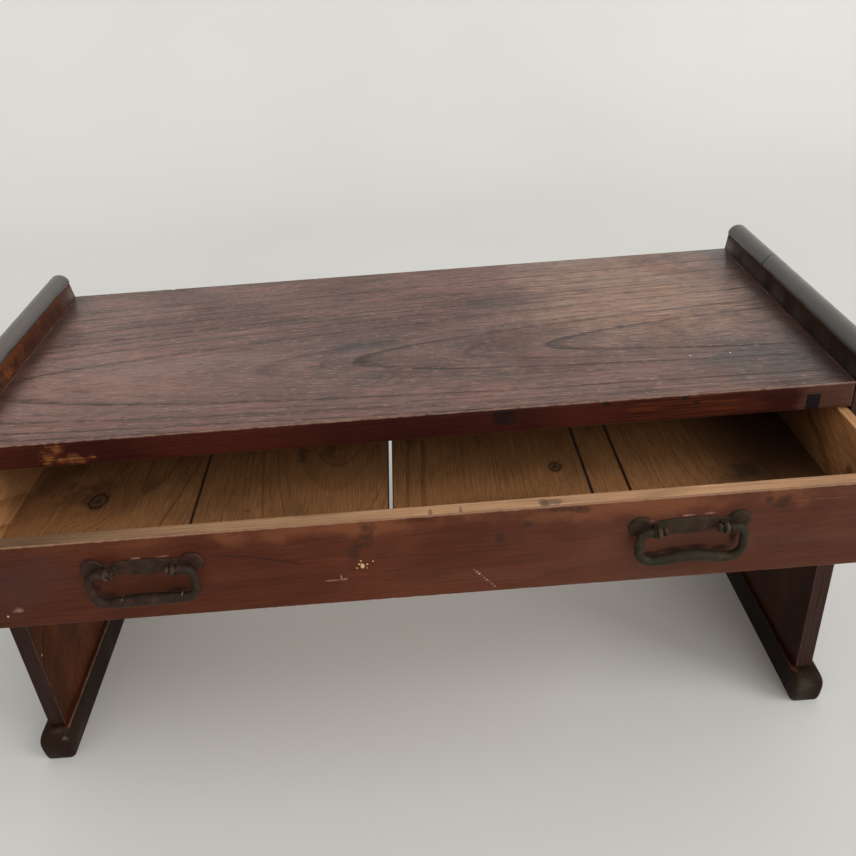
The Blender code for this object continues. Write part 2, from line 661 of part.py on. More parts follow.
def bail_half(bow):
    """Right half of a bail as (x, z, radius), from its ball end, through the eye, to the grip."""
    eye = EYE_SPACING / 2
    ball_end = eye - EYE_WIDTH / 2 - BAIL_NECK_PLAY
    collar = eye + EYE_WIDTH / 2 + BAIL_NECK_PLAY
    path = []
    for i in range(BAIL_BALL_STEPS + 1):
        share = i / BAIL_BALL_STEPS
        turn = math.radians(BAIL_BALL_FIRST_ANGLE * (1 - share) + BAIL_BALL_LAST_ANGLE * share)
        x = ball_end - BAIL_BALL_LENGTH / 2 * (1 + math.cos(turn))
        path.append((x, 0.0, BAIL_BALL_RADIUS * math.sin(turn)))
    path += [(ball_end, 0.0, BAIL_NECK_RADIUS), (collar, 0.0, BAIL_NECK_RADIUS)]
    ring_steps = BAIL_COLLAR_RING_COUNT * BAIL_COLLAR_RING_STEPS
    for i in range(ring_steps + 1):
        share = i / ring_steps
        swell = abs(math.sin(math.pi * BAIL_COLLAR_RING_COUNT * share))
        radius = BAIL_ARM_RADIUS + (BAIL_COLLAR_RADIUS - BAIL_ARM_RADIUS) * swell
        path.append((collar + share * BAIL_COLLAR_WIDTH, 0.0, radius))
    outer = BAIL_WIDTH / 2
    upper = (outer - BAIL_UPPER_BEND, -BAIL_UPPER_BEND)
    lower = (outer - BAIL_LOWER_BEND, -BAIL_DROP + BAIL_LOWER_BEND)
    if upper[0] > collar + BAIL_COLLAR_WIDTH:
        path.append((upper[0], 0.0, BAIL_ARM_RADIUS))
    path += [(x, z, BAIL_ARM_RADIUS) for x, z in arc_points(upper, BAIL_UPPER_BEND, 90, 0, BAIL_BEND_STEPS)]
    bottom = [(outer, lower[1])] + arc_points(lower, BAIL_LOWER_BEND, 0, -90, BAIL_BEND_STEPS)
    path += [(x, z, grip_radius(x)) for x, z in bottom]
    for i in range(1, BAIL_GRIP_STEPS + 1):
        x = lower[0] * (1 - i / BAIL_GRIP_STEPS)
        z = -BAIL_DROP + bow * (0.5 + 0.5 * math.cos(math.pi * x / lower[0]))
        path.append((x, z, grip_radius(x)))
    return path


def grip_radius(x):
    """The bail swells from its arms to the middle of its grip."""
    across = min(abs(x) / (BAIL_WIDTH / 2), 1.0)
    return BAIL_ARM_RADIUS + (BAIL_GRIP_RADIUS - BAIL_ARM_RADIUS) * (1 - across ** 2)


def build_bail(name, side, drawer, surface):
    """Forged bail, a round bar of changing thickness swept along a path in the XZ plane."""
    half = bail_half(BAIL_GRIP_BOW[name])
    path = half + [(-x, z, radius) for x, z, radius in reversed(half[:-1])]
    rings = []
    for i, (x, z, radius) in enumerate(path):
        before = path[max(i - 1, 0)]
        after = path[min(i + 1, len(path) - 1)]
        along = Vector((after[0] - before[0], 0.0, after[1] - before[1])).normalized()
        across = Vector((0.0, 1.0, 0.0)).cross(along)
        centre = Vector((x, 0.0, z))
        turns = [2 * math.pi * k / BAIL_SIDES for k in range(BAIL_SIDES)]
        rings.append([centre + radius * (math.cos(a) * across + math.sin(a) * Vector((0.0, 1.0, 0.0)))
                      for a in turns])
    bm = bmesh.new()
    add_loft(bm, rings)
    place = (side * HANDLE_SPACING / 2, -EYE_REACH, HANDLE_ABOVE_EDGE)
    bail = mesh_object(f"handle_bail_{name}", bm, drawer, place, surface)
    shade_round(bail, sharp_degrees=60)


def build_table():
    clear_scene()
    top_finish = finish("stained_top", (0.110, 0.052, 0.040), 0.38)
    case_finish = finish("stained_case", (0.080, 0.026, 0.016), 0.45)
    cap_finish = finish("dark_cap", (0.030, 0.022, 0.020), 0.40)
    foot_finish = finish("dark_foot", (0.018, 0.013, 0.011), 0.50)
    front_finish = finish("stained_drawer_front", (0.100, 0.030, 0.020), 0.45)
    bare_finish = finish("bare_softwood", (0.330, 0.190, 0.085), 0.70)
    peg_finish = finish("peg_wood", (0.280, 0.150, 0.070), 0.65)
    iron_finish = finish("dark_iron", (0.040, 0.038, 0.030), 0.55, 0.6)
    nail_finish = finish("nail_iron", (0.050, 0.040, 0.032), 0.60, 0.8)

    table = empty("table_frame", None, (0.0, CASE_FRONT, 0.0))
    build_top_board(table, top_finish)
    for name, side in SIDES.items():
        build_end_board(name, side, table, case_finish)
        build_foot(name, side, table, foot_finish)
        build_runner(name, side, table, bare_finish, peg_finish)
    build_caps(table, cap_finish)
    build_back_board(table, case_finish)

    drawer = empty("drawer_slide", table, (0.0, -DRAWER_OPEN, DRAWER_BOTTOM))
    build_drawer_front(drawer, front_finish)
    for name, side in SIDES.items():
        build_drawer_side(name, side, drawer, bare_finish)
        build_handle_plate(name, side, drawer, iron_finish)
        build_bail(name, side, drawer, iron_finish)
    for name, number, x in shank_places():
        build_handle_eye(name, number, x, drawer, iron_finish)
    build_drawer_back(drawer, bare_finish)
    build_drawer_floor(drawer, bare_finish, nail_finish)


build_table()
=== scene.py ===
"""Looks of a low Japanese side table: worn stained boards, a softwood drawer and forged iron handles."""
import math

import bmesh
import bpy
from mathutils import Matrix, Vector, noise


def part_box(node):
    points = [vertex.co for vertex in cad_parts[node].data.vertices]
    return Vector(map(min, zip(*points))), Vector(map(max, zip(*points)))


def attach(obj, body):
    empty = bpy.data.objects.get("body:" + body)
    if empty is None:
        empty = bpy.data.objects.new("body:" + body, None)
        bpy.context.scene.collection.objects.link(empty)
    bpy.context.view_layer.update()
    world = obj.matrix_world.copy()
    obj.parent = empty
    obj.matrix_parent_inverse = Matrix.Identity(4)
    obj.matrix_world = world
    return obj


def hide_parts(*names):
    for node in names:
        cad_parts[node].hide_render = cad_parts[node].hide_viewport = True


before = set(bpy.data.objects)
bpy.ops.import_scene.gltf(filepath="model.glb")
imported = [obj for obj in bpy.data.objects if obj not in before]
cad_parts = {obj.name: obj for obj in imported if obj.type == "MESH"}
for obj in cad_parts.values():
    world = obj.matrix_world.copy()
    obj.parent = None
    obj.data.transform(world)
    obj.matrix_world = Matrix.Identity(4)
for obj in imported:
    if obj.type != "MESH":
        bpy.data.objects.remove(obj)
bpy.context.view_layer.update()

# Sled feet. Each is one length of dense wood under an end board, upright on its inner side and swept
# in at the toes and along its outer side. The end board's tenons stand in mortises in its top.
FOOT_CORNER = 0.0045
FOOT_WIDEST_AT = 0.019
FOOT_UNDERCUT = 0.0025
FOOT_OUTER_SWEEP = 0.0065
FOOT_TOE_SWEEP = 0.0135
FOOT_STEPS = 9
FOOT_TENON = (0.008, 0.070, 0.020)
FOOT_TENONS = 2
END_FACE = 0.363
END_THICK = 0.016
JOINT_PLAY = 0.0003
CUT_PAST = 0.002
LARGE_SPOT = 0.022
MERGE_WITHIN = 0.00001
SMOOTH_UP_TO = math.radians(38)
SIDES = {"left": -1, "right": 1}


class Layer:
    """A number that changes over a surface, such as a mask. Layers add and multiply as numbers do."""

    def __init__(self, finish, socket):
        self.finish = finish
        self.socket = socket

    def __add__(self, other):
        return self.finish.calc("ADD", self, other)

    def __sub__(self, other):
        return self.finish.calc("SUBTRACT", self, other)

    def __rsub__(self, other):
        return self.finish.calc("SUBTRACT", other, self)

    def __mul__(self, other):
        return self.finish.calc("MULTIPLY", self, other)

    def __abs__(self):
        return self.finish.calc("ABSOLUTE", self)

    __radd__ = __add__
    __rmul__ = __mul__

    def between(self, start, end):
        """0 where the number is at start, 1 where it is at end, smooth in between."""
        inputs = {"Value": self, "From Min": start, "From Max": end}
        return self.finish.layer("MapRange", inputs, interpolation_type="SMOOTHSTEP")


class Finish:
    """A surface made of nodes, laid out over the piece's own place in the table. Its colour is built up
    by laying one colour over another. axes are the directions along, across and through the grain."""

    def __init__(self, name, gloss=0.5, axes=(0, 1, 2)):
        self.axes = axes
        self.material = bpy.data.materials.new(name)
        self.material.use_nodes = True
        self.tree = self.material.node_tree
        self.shader = self.tree.nodes["Principled BSDF"]
        self.shader.inputs["Specular IOR Level"].default_value = gloss
        self.place = self.node("TexCoord").outputs["Object"]
        sockets = self.node("SeparateXYZ", {0: self.place}).outputs
        self.xyz = [Layer(self, socket) for socket in sockets]
        self.x, self.y, self.z = self.xyz
        self.rag = self.noise(170.0, detail=4.0)
        self.wave = self.noise(45.0, detail=4.0, shift=9.0)

    def node(self, kind, inputs=None, **settings):
        made = self.tree.nodes.new("ShaderNode" + kind)
        for key, value in settings.items():
            setattr(made, key, value)
        for key, value in (inputs or {}).items():
            if isinstance(value, Layer):
                value = value.socket
            if isinstance(value, bpy.types.NodeSocket):
                self.tree.links.new(value, made.inputs[key])
            else:
                made.inputs[key].default_value = value
        return made

    def layer(self, kind, inputs, output=0, **settings):
        return Layer(self, self.node(kind, inputs, **settings).outputs[output])

    def calc(self, operation, a, b=0.0):
        return self.layer("Math", {0: a, 1: b}, operation=operation)

    def vector(self, operation, a, b):
        return self.node("VectorMath", {0: a, 1: b}, operation=operation).outputs[0]

    def either(self, *masks):
        """The strongest of several masks."""
        strongest = masks[0]
        for mask in masks[1:]:
            strongest = self.calc("MAXIMUM", strongest, mask)
        return strongest

    def noise(self, scale, stretch=(1.0, 1.0, 1.0), detail=3.0, twist=0.0, shift=0.0):
        """Noise whose spots are 1/scale metres large, divided by stretch along each axis."""
        shifted = self.vector("ADD", self.place, (shift, shift, shift))
        scaled = self.vector("MULTIPLY", shifted, stretch)
        inputs = {"Vector": scaled, "Scale": scale, "Detail": detail, "Distortion": twist}
        return self.layer("TexNoise", inputs)

    def tint(self, mask, below, above):
        """One colour over another, by a mask."""
        colours = {6: below, 7: above}
        inputs = {i: (*c, 1.0) if isinstance(c, tuple) else c for i, c in colours.items()}
        return self.node("Mix", {0: mask, **inputs}, data_type="RGBA").outputs[2]

    def shade(self, colour, amount):
        """A colour made darker or lighter by a factor that changes over the surface."""
        grey = self.node("CombineColor", {0: amount, 1: amount, 2: amount}).outputs[0]
        inputs = {0: 1.0, 6: colour, 7: grey}
        return self.node("Mix", inputs, data_type="RGBA", blend_type="MULTIPLY").outputs[2]

    def lay(self, mask, above):
        """Lays a colour over the finish's own, by a mask."""
        self.colour = self.tint(mask, self.colour, above)

    def dim(self, amount):
        """Makes the finish's own colour darker or lighter."""
        self.colour = self.shade(self.colour, amount)

    def ramp(self, value, *stops):
        made = self.node("ValToRGB", {0: value})
        elements = made.color_ramp.elements
        while len(elements) < len(stops):
            elements.new(1.0)
        for element, (position, colour) in zip(elements, stops):
            element.position = position
            element.color = (*colour, 1.0)
        return made.outputs[0]

    def distance(self, centre, scale):
        """How far a place is from a point, with a scale for each axis."""
        scaled = self.vector("MULTIPLY", self.vector("SUBTRACT", self.place, centre), scale)
        return self.layer("VectorMath", {0: scaled}, "Value", operation="LENGTH")

    def spot(self, centre, radii, ragged=0.9, soft=0.5):
        """An uneven patch about a point: 1 inside and 0 outside."""
        shape = self.wave if max(radii) > LARGE_SPOT else self.rag
        reach = self.distance(centre, [1.0 / radius for radius in radii])
        uneven = reach + (shape - 0.5) * (2.0 * ragged)
        return uneven.between(1.0, 1.0 - soft)

    def arris(self, along, at, reach, ragged=1.0):
        """Worn band along an edge that runs along one axis, at two fixed coordinates on the others."""
        point = list(at)
        point.insert(along, 0.0)
        away = self.distance(point, [0.0 if i == along else 1.0 for i in range(3)])
        uneven = away + (self.rag - 0.5) * (2.0 * ragged * reach)
        return uneven.between(reach, 0.3 * reach)

    def drawn_out(self, share):
        """Factors that stretch a pattern along the grain."""
        return [share if i == self.axes[0] else 1.0 for i in range(3)]

    def streaks(self, length, width, shift=0.0, detail=3.0):
        """Fibres along the grain, of a usual length and width."""
        return self.noise(1.0 / width, self.drawn_out(width / length), detail=detail, shift=shift)

    def years(self, spacing, start, slowness, uneven):
        """Years counted out from the log's middle, some of them wider: how far through its year a place
        is, and how strong that year is."""
        count = self.radius * (1.0 / spacing) + start
        slow = self.layer("TexNoise", {"W": count, "Scale": slowness, "Detail": 1.0}, noise_dimensions="1D")
        count = count + slow * uneven
        strength = self.layer("TexWhiteNoise", {"W": self.calc("FLOOR", count)}, noise_dimensions="1D")
        return self.calc("FRACT", count), strength * strength

    def rings(self, heart, lean, spacing, wander=0.004, start=0.0, uneven=2.2, early=0.50, least=0.25,
              bulge=None):
        """Growth rings of a board sawn from a log that leans in it.

        heart is the log's middle, across and through the grain, and lean how far it shifts for each metre
        along. Gives each year's dark late wood as a mask, in some years stronger than in others, least
        being the faintest."""
        along, across, through = (self.xyz[i] for i in self.axes)
        sides = []
        for value, middle, shift in zip((across, through), heart, lean):
            drift = along * -shift - middle
            sides.append(value + drift)
        radius = self.calc("SQRT", sides[0] * sides[0] + sides[1] * sides[1])
        radius = radius + (self.noise(16.0, self.drawn_out(0.22), detail=2.5) - 0.5) * (2.0 * wander)
        self.radius = radius + bulge if bulge else radius
        share, strength = self.years(spacing, start, 0.45, uneven)
        late = share.between(early, 0.96)
        return late * late * (least + strength * (1.0 - least))

    def hairlines(self, spacing):
        """Fine dark lines between the rings, and along them."""
        share, strength = self.years(spacing, 0.0, 0.3, 3.0)
        return share.between(0.40, 0.90) * strength

    def done(self, roughness, relief=None, depth=0.0, polish=None):
        links = self.tree.links
        links.new(self.colour, self.shader.inputs["Base Color"])
        links.new(roughness.socket, self.shader.inputs["Roughness"])
        if relief:
            bump = self.node("Bump", {"Height": relief, "Distance": depth})
            links.new(bump.outputs[0], self.shader.inputs["Normal"])
            if polish:
                links.new(polish.socket, self.shader.inputs["Coat Weight"])
                links.new(bump.outputs[0], self.shader.inputs["Coat Normal"])
        return self.material


def alone(piece):
    """Selects one piece and nothing else."""
    bpy.ops.object.select_all(action="DESELECT")
    piece.select_set(True)
    bpy.context.view_layer.objects.active = piece


def named(name):
    """Names the new primitive and puts its place into its mesh."""
    piece = bpy.context.object
    piece.name = name
    piece.data.name = name
    bpy.ops.object.transform_apply(location=True, rotation=True, scale=True)
    return piece


def block(name, low, high):
    low, high = Vector(low), Vector(high)
    bpy.ops.mesh.primitive_cube_add(size=1.0, location=(low + high) / 2, scale=high - low)
    return named(name)


def pick_edges(piece, test):
    """In edit mode, selects the edges that pass a test."""
    bpy.ops.mesh.select_mode(type="EDGE")
    bpy.ops.mesh.select_all(action="DESELECT")
    shape = bmesh.from_edit_mesh(piece.data)
    for edge in shape.edges:
        if test(edge):
            edge.select_set(True)
    shape.select_flush_mode()
    bmesh.update_edit_mesh(piece.data)


def combine(piece, tool, operation="DIFFERENCE"):
    """Cuts a piece with another shape, or joins the shape to it, and removes the shape."""
    boolean = piece.modifiers.new("combine", "BOOLEAN")
    boolean.operation = operation
    boolean.object = tool
    alone(piece)
    bpy.ops.object.modifier_apply(modifier=boolean.name)
    bpy.data.objects.remove(tool)


def settle(piece, material, body, slot, *stands_for):
    """Smooth shading, finish and body for a finished piece; its slot is not used."""
    alone(piece)
    bpy.ops.object.mode_set(mode="EDIT")
    bpy.ops.mesh.select_all(action="SELECT")
    bpy.ops.mesh.remove_doubles(threshold=MERGE_WITHIN)
    bpy.ops.mesh.normals_make_consistent(inside=False)
    bpy.ops.object.mode_set(mode="OBJECT")
    bpy.ops.object.shade_smooth_by_angle(angle=SMOOTH_UP_TO)
    piece.data.materials.clear()
    piece.data.materials.append(material)
    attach(piece, body)
    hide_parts(*stands_for)


def refinish(material, *node_names):
    """A finer finish for CAD pieces whose shape stays."""
    for node_name in node_names:
        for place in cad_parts[node_name].material_slots:
            place.material = material


def dark_foot_finish():
    finish = Finish("dark_foot_wood", gloss=0.06, axes=(1, 0, 2))
    fibre = finish.streaks(0.060, 0.0014)
    cloud = finish.noise(22.0, detail=4.0)
    finish.colour = finish.ramp(cloud, (0.30, (0.011, 0.0055, 0.0028)), (0.70, (0.024, 0.0115, 0.0060)))
    finish.dim(0.55 + fibre * 0.9)
    dust = finish.z.between(0.016, 0.002) * cloud.between(0.35, 0.75)
    finish.lay(dust * 0.35, (0.075, 0.066, 0.058))
    ledge = finish.z.between(0.0322, 0.0328) * abs(finish.x).between(0.3640, 0.3625)
    finish.lay(ledge * 0.8, (0.075, 0.022, 0.009))
    # Painted shade: the right foot is darkened, all but the front of its toe.
    painted_right_shade = finish.x.between(-0.1, 0.1) * finish.y.between(-0.116, -0.100)
    finish.dim(1.0 - painted_right_shade * 0.55)
    worn = finish.arris(1, (-0.3585, 0.033), 0.0014, ragged=0.8)
    worn_right = finish.arris(1, (0.3585, 0.033), 0.0010, ragged=1.2)
    finish.lay(worn * 0.75, (0.200, 0.130, 0.095))
    finish.lay(worn_right * 0.30, (0.120, 0.080, 0.062))
    # Painted highlight: the tops of both toes are laid paler, where light falls on them.
    for centre, radii, rubbed in (((-0.367, -0.1165, 0.031), (0.010, 0.006, 0.005), (0.058, 0.036, 0.029)),
                                  ((0.367, -0.1240, 0.020), (0.014, 0.008, 0.014), (0.046, 0.043, 0.032))):
        lit_toe_top = finish.spot(centre, radii, ragged=0.6, soft=0.9)
        finish.lay(lit_toe_top * 0.65, rubbed)
    nick = finish.spot((-0.362, -0.1215, 0.024), (0.004, 0.003, 0.005), ragged=0.8)
    finish.lay(nick * 0.3, (0.330, 0.250, 0.190))
    return finish.done(0.36 + fibre * 0.22, fibre + cloud, 0.0003)


def model_foot(name, side, material):
    node = f"foot_{name}"
    low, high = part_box(node)
    height = high.z
    inner = low.x if side > 0 else high.x
    middle = (low.y + high.y) / 2
    width = high.x - low.x
    length = high.y - low.y

    def level(z):
        """Width and length of the foot at a height."""
        if z <= FOOT_WIDEST_AT:
            drawn = FOOT_UNDERCUT * (1 - math.sqrt(1 - (1 - z / FOOT_WIDEST_AT) ** 2))
            return width - drawn, length - 2 * drawn
        share = (z - FOOT_WIDEST_AT) / (height - FOOT_WIDEST_AT)
        drawn = 1 - math.sqrt(max(1 - share ** 2, 0.0))
        return width - FOOT_OUTER_SWEEP * drawn, length - 2 * FOOT_TOE_SWEEP * drawn

    across, along = level(0.0)
    bpy.ops.mesh.primitive_plane_add(size=1.0, location=(inner + side * across / 2, middle, 0.0))
    bpy.context.object.scale = (across, along, 1.0)
    piece = named(f"{node}_worn")
    bpy.ops.object.mode_set(mode="EDIT")
    bpy.ops.mesh.select_all(action="SELECT")
    bpy.ops.mesh.bevel(affect="VERTICES", offset=FOOT_CORNER, segments=6)
    bpy.ops.mesh.select_mode(type="FACE")
    bpy.ops.mesh.select_all(action="SELECT")
    turns = [math.pi / 2 * i / FOOT_STEPS for i in range(1, FOOT_STEPS + 1)]
    heights = [FOOT_WIDEST_AT * (1 - math.cos(turn)) for turn in turns]
    heights += [FOOT_WIDEST_AT + (height - FOOT_WIDEST_AT) * math.sin(turn) for turn in turns]
    before = 0.0
    for z in heights:
        new_across, new_along = level(z)
        bpy.ops.mesh.extrude_region_move(TRANSFORM_OT_translate={"value": (0.0, 0.0, z - before)})
        bpy.ops.transform.resize(value=(new_across / across, new_along / along, 1.0),
                                 center_override=(inner, middle, z))
        across, along, before = new_across, new_along, z
    bpy.ops.object.mode_set(mode="OBJECT")

    board_low, board_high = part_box(f"end_board_{name}")
    tenon_width = FOOT_TENON[1]
    thick, wide, deep = (size + 2 * JOINT_PLAY for size in FOOT_TENON)
    axis = side * (END_FACE + END_THICK / 2)
    space = (board_high.y - board_low.y - FOOT_TENONS * tenon_width) / (FOOT_TENONS + 1)
    for i in range(FOOT_TENONS):
        y = board_low.y + space + i * (tenon_width + space) + tenon_width / 2
        combine(piece, block("mortise", (axis - thick / 2, y - wide / 2, height - deep),
                             (axis + thick / 2, y + wide / 2, height + CUT_PAST)))
    settle(piece, material, "carcass", "foot_wood", node)


foot_finish = dark_foot_finish()
for side_name, side_sign in SIDES.items():
    model_foot(side_name, side_sign, foot_finish)

# End boards. Flat-sawn boards stained dark red-brown, grain upright, that carry the top on stub tenons
# and rise past it; the front and back rims are rubbed greyer, and the inner faces kept more of the red.
def stained_wood(name, axes, heart, lean, spacing, gloss, pale, deep, line, figure=1.0, **ring_settings):
    """Open-grained wood under a dark stain. Keeps its layers for the marks that follow."""
    finish = Finish(name, gloss, axes)
    finish.late = finish.rings(heart, lean, spacing, **ring_settings)
    hair = finish.hairlines(spacing / 4.3)
    finish.fibre = finish.streaks(0.070, 0.0016)
    finish.fine = finish.streaks(0.018, 0.00045, shift=3.0)
    finish.cloud = finish.noise(7.0, detail=4.0, twist=0.6, shift=1.0)
    patches = finish.noise(30.0, finish.drawn_out(0.30), detail=4.0, twist=0.5, shift=5.0)
    finish.mottle = patches.between(0.36, 0.64)
    tone = finish.cloud * 0.6 + finish.mottle * 0.2
    finish.colour = finish.tint(tone.between(0.28, 0.52), deep, pale)
    grain = finish.fibre * 0.6 + finish.fine * 0.4
    light = grain.between(0.34, 0.66) * (0.55 * figure)
    finish.dim(1.0 - 0.27 * figure + light)
    pores = finish.streaks(0.014, 0.0008, shift=7.0, detail=1.5).between(0.58, 0.68)
    broken = finish.streaks(0.045, 0.005, shift=11.0).between(0.34, 0.56)
    late = finish.late * (0.40 + broken * 0.60)
    finish.lines = finish.either(late, hair * 0.75, pores * 0.55)
    finish.lay(finish.lines * (0.85 * figure), line)
    finish.relief = grain * 0.5 - finish.lines * 0.8
    return finish


def end_board_finish():
    finish = stained_wood("end_board_wood", (2, 1, 0), (-0.04, 0.0), (0.06, 0.10), 0.011, gloss=0.06,
                          pale=(0.110, 0.028, 0.008), deep=(0.065, 0.016, 0.005), line=(0.020, 0.006, 0.003))
    y, z = finish.y, finish.z
    rim = finish.either(y.between(CASE_FRONT + 0.0012, CASE_FRONT + 0.0004),
                        y.between(CASE_BACK - 0.0012, CASE_BACK - 0.0004))
    grey = finish.tint(finish.fibre.between(0.35, 0.65), (0.028, 0.0135, 0.0105), (0.042, 0.0215, 0.0165))
    grey = finish.shade(grey, 0.68 + finish.x.between(-0.1, 0.1) * 0.32)
    # Painted shade: the whole right board is darkened, its inner face standing in shadow.
    painted_right_shade = finish.x.between(0.355, 0.362)
    finish.dim(1.0 - painted_right_shade * 0.62)
    # Darker towards the front edge, unevenly.
    darker_to_front = y.between(CASE_FRONT + 0.045, CASE_FRONT + 0.004) * (0.24 + finish.mottle * 0.24)
    finish.dim(1.0 - darker_to_front)
    finish.lay(rim * 0.90, grey)
    inner = abs(finish.x).between(0.3655, 0.3640)
    risen = z.between(TOP_LEVEL - 0.004, TOP_LEVEL + 0.004) * inner
    right_hand = finish.x.between(-0.1, 0.1)
    left_rise = finish.tint(finish.fibre.between(0.35, 0.65), (0.016, 0.007, 0.0045), (0.054, 0.021, 0.013))
    right_rise = finish.tint(finish.mottle, (0.014, 0.009, 0.008), (0.052, 0.037, 0.031))
    finish.lay(risen * 0.85, finish.tint(right_hand, left_rise, right_rise))
    # Painted reflection of the bright wall, with some dust: the risen inner faces turn pale towards the back
    # end, the right one more.
    pale_sheen_and_dust = risen * y.between(CASE_BACK - 0.050, CASE_BACK - 0.008) * (0.35 + finish.mottle * 0.45)
    finish.lay(pale_sheen_and_dust, finish.tint(right_hand, (0.125, 0.098, 0.082), (0.190, 0.150, 0.128)))
    # Painted highlight: orange glints along the grain, high on the left board's inner face.
    orange = finish.spot((-END_FACE, 0.012, 0.361), (0.004, 0.018, 0.006), ragged=1.0, soft=0.7)
    orange = orange * finish.fine.between(0.35, 0.60)
    finish.lay(orange * 0.75, (0.200, 0.058, 0.015))
    low = z.between(0.075, 0.035) * finish.cloud.between(0.35, 0.65)
    finish.lay(low * 0.5, (0.035, 0.014, 0.010))
    for sign in SIDES.values():
        worn = finish.arris(2, (sign * END_FACE, CASE_FRONT), 0.0013, ragged=0.9)
        finish.lay(worn * 0.20, (0.190, 0.095, 0.060))
    speck = finish.spot((-END_FACE, -0.104, 0.1213), (0.002, 0.0018, 0.0016), ragged=0.4)
    finish.lay(speck, (0.400, 0.260, 0.180))
    return finish.done(0.34 + finish.cloud * 0.22, finish.relief, 0.0004)


top_low, top_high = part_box("top_board")
CASE_FRONT = top_low.y
CASE_BACK = top_high.y
TOP_LEVEL = top_high.z
refinish(end_board_finish(), "end_board_left", "end_board_right")

# Top. One wide flat-sawn board with broad rings, stained and rubbed to a satin, its front face kept
# redder. The arrises are nibbled, the back one is chipped, and dust lies along both end boards.
TOP_END = END_FACE - JOINT_PLAY
TOP_TENON = (0.008, 0.050, 0.010)
TOP_TENONS = 3
TOP_ROUND = 0.0014
TOP_STEP = 0.0035
TOP_WEAR = (0.0016, 0.0004)
WEAR_GRAIN = 150.0
SAME_PLACE = 0.00002
TOP_DARK_YEARS = ((0.0561, 0.80), (0.0712, 0.85), (0.0786, 0.40), (0.0983, 0.85), (0.1128, 0.75),
                  (0.1230, 0.85), (0.1305, 0.95), (0.1380, 0.55), (0.1500, 0.90), (0.1620, 0.50),
                  (0.1780, 0.90), (0.1930, 0.60))
CHIP_LENGTH = 0.012
CHIP_DROP = 0.002
TOP_CHIPS = ((-0.2535, 0.0050, 0.0042), (-0.2360, 0.0040, 0.0032), (0.331, 0.0026, 0.0012))


def cut_across(axis, at):
    """In edit mode, cuts the piece across an axis."""
    normal = [1.0 if i == axis else 0.0 for i in range(3)]
    bpy.ops.mesh.select_all(action="SELECT")
    bpy.ops.mesh.bisect(plane_co=[at * part for part in normal], plane_no=normal)


def slice_along(axis, start, stop, step):
    """In edit mode, cuts the piece across an axis at even steps, so that its edges can take wear."""
    count = int((stop - start) / step)
    for i in range(1, count):
        cut_across(axis, start + (stop - start) * i / count)


def on_arris(edge, low, high):
    """Whether an edge lies on one of a block's twelve edges."""
    faces = 0
    for i in range(3):
        for limit in (low[i], high[i]):
            faces += all(abs(v.co[i] - limit) < SAME_PLACE for v in edge.verts)
    return faces >= 2


def wear(piece, low, high, rounding, step, reach, depth):
    """Rounds a block's arrises, cuts it close to them and all along, and nibbles them."""
    alone(piece)
    bpy.ops.object.mode_set(mode="EDIT")
    pick_edges(piece, lambda e: on_arris(e, low, high))
    bpy.ops.mesh.bevel(affect="EDGES", offset=rounding, segments=3)
    for axis in range(3):
        cut_across(axis, low[axis] + step)
        cut_across(axis, high[axis] - step)
    slice_along(0, low.x, high.x, step)
    bpy.ops.object.mode_set(mode="OBJECT")
    middle = (low + high) / 2
    for vertex in piece.data.vertices:
        place = vertex.co.copy()
        gaps = [min(place[i] - low[i], high[i] - place[i]) for i in range(3)]
        near = sorted(gaps)[1]
        if min(gaps) < -SAME_PLACE or near > reach:
            continue
        bite = noise.noise(place * WEAR_GRAIN) + 0.7 * noise.noise(place * WEAR_GRAIN * 3.1)
        push = depth * max(bite - 0.10, 0.0) * (1.0 - near / reach)
        for i in range(3):
            if gaps[i] <= reach:
                vertex.co[i] += math.copysign(push, middle[i] - place[i])


def lay_top_washes(finish):
    """Pink, grey and orange patches in the stain. Gives the dull one in the middle as a mask."""
    calm = finish.y.between(-0.025, -0.070) * 0.55
    plain = finish.tint(finish.mottle, (0.118, 0.047, 0.035), (0.172, 0.066, 0.049))
    plain = finish.shade(plain, 0.70 + finish.fibre * 0.60)
    finish.lay(calm, plain)
    pink = finish.spot((-0.270, -0.020, TOP_LEVEL), (0.190, 0.140, 0.05), ragged=0.6, soft=0.9)
    finish.lay(pink * 0.55, (0.235, 0.098, 0.074))
    patch = finish.noise(24.0, (0.35, 1.0, 1.0), detail=4.0, twist=0.8, shift=3.0).between(0.46, 0.66)
    finish.lay(patch * 0.28, (0.078, 0.048, 0.037))
    dull = finish.spot((0.010, 0.010, TOP_LEVEL), (0.150, 0.090, 0.05), ragged=0.6, soft=0.9)
    finish.dim(1.0 - dull * 0.28)
    orange = finish.spot((0.230, 0.105, TOP_LEVEL), (0.165, 0.150, 0.05), ragged=0.6, soft=0.8)
    warm = finish.tint(finish.fibre.between(0.40, 0.62), (0.240, 0.112, 0.060), (0.395, 0.200, 0.108))
    warm = finish.tint(finish.lines * 0.8, warm, (0.026, 0.013, 0.010))
    finish.lay(orange * 0.75, warm)
    grey = finish.spot((0.325, -0.060, TOP_LEVEL), (0.110, 0.080, 0.05), ragged=0.6, soft=0.9)
    finish.lay(grey * 0.72, (0.046, 0.041, 0.035))
    return dull


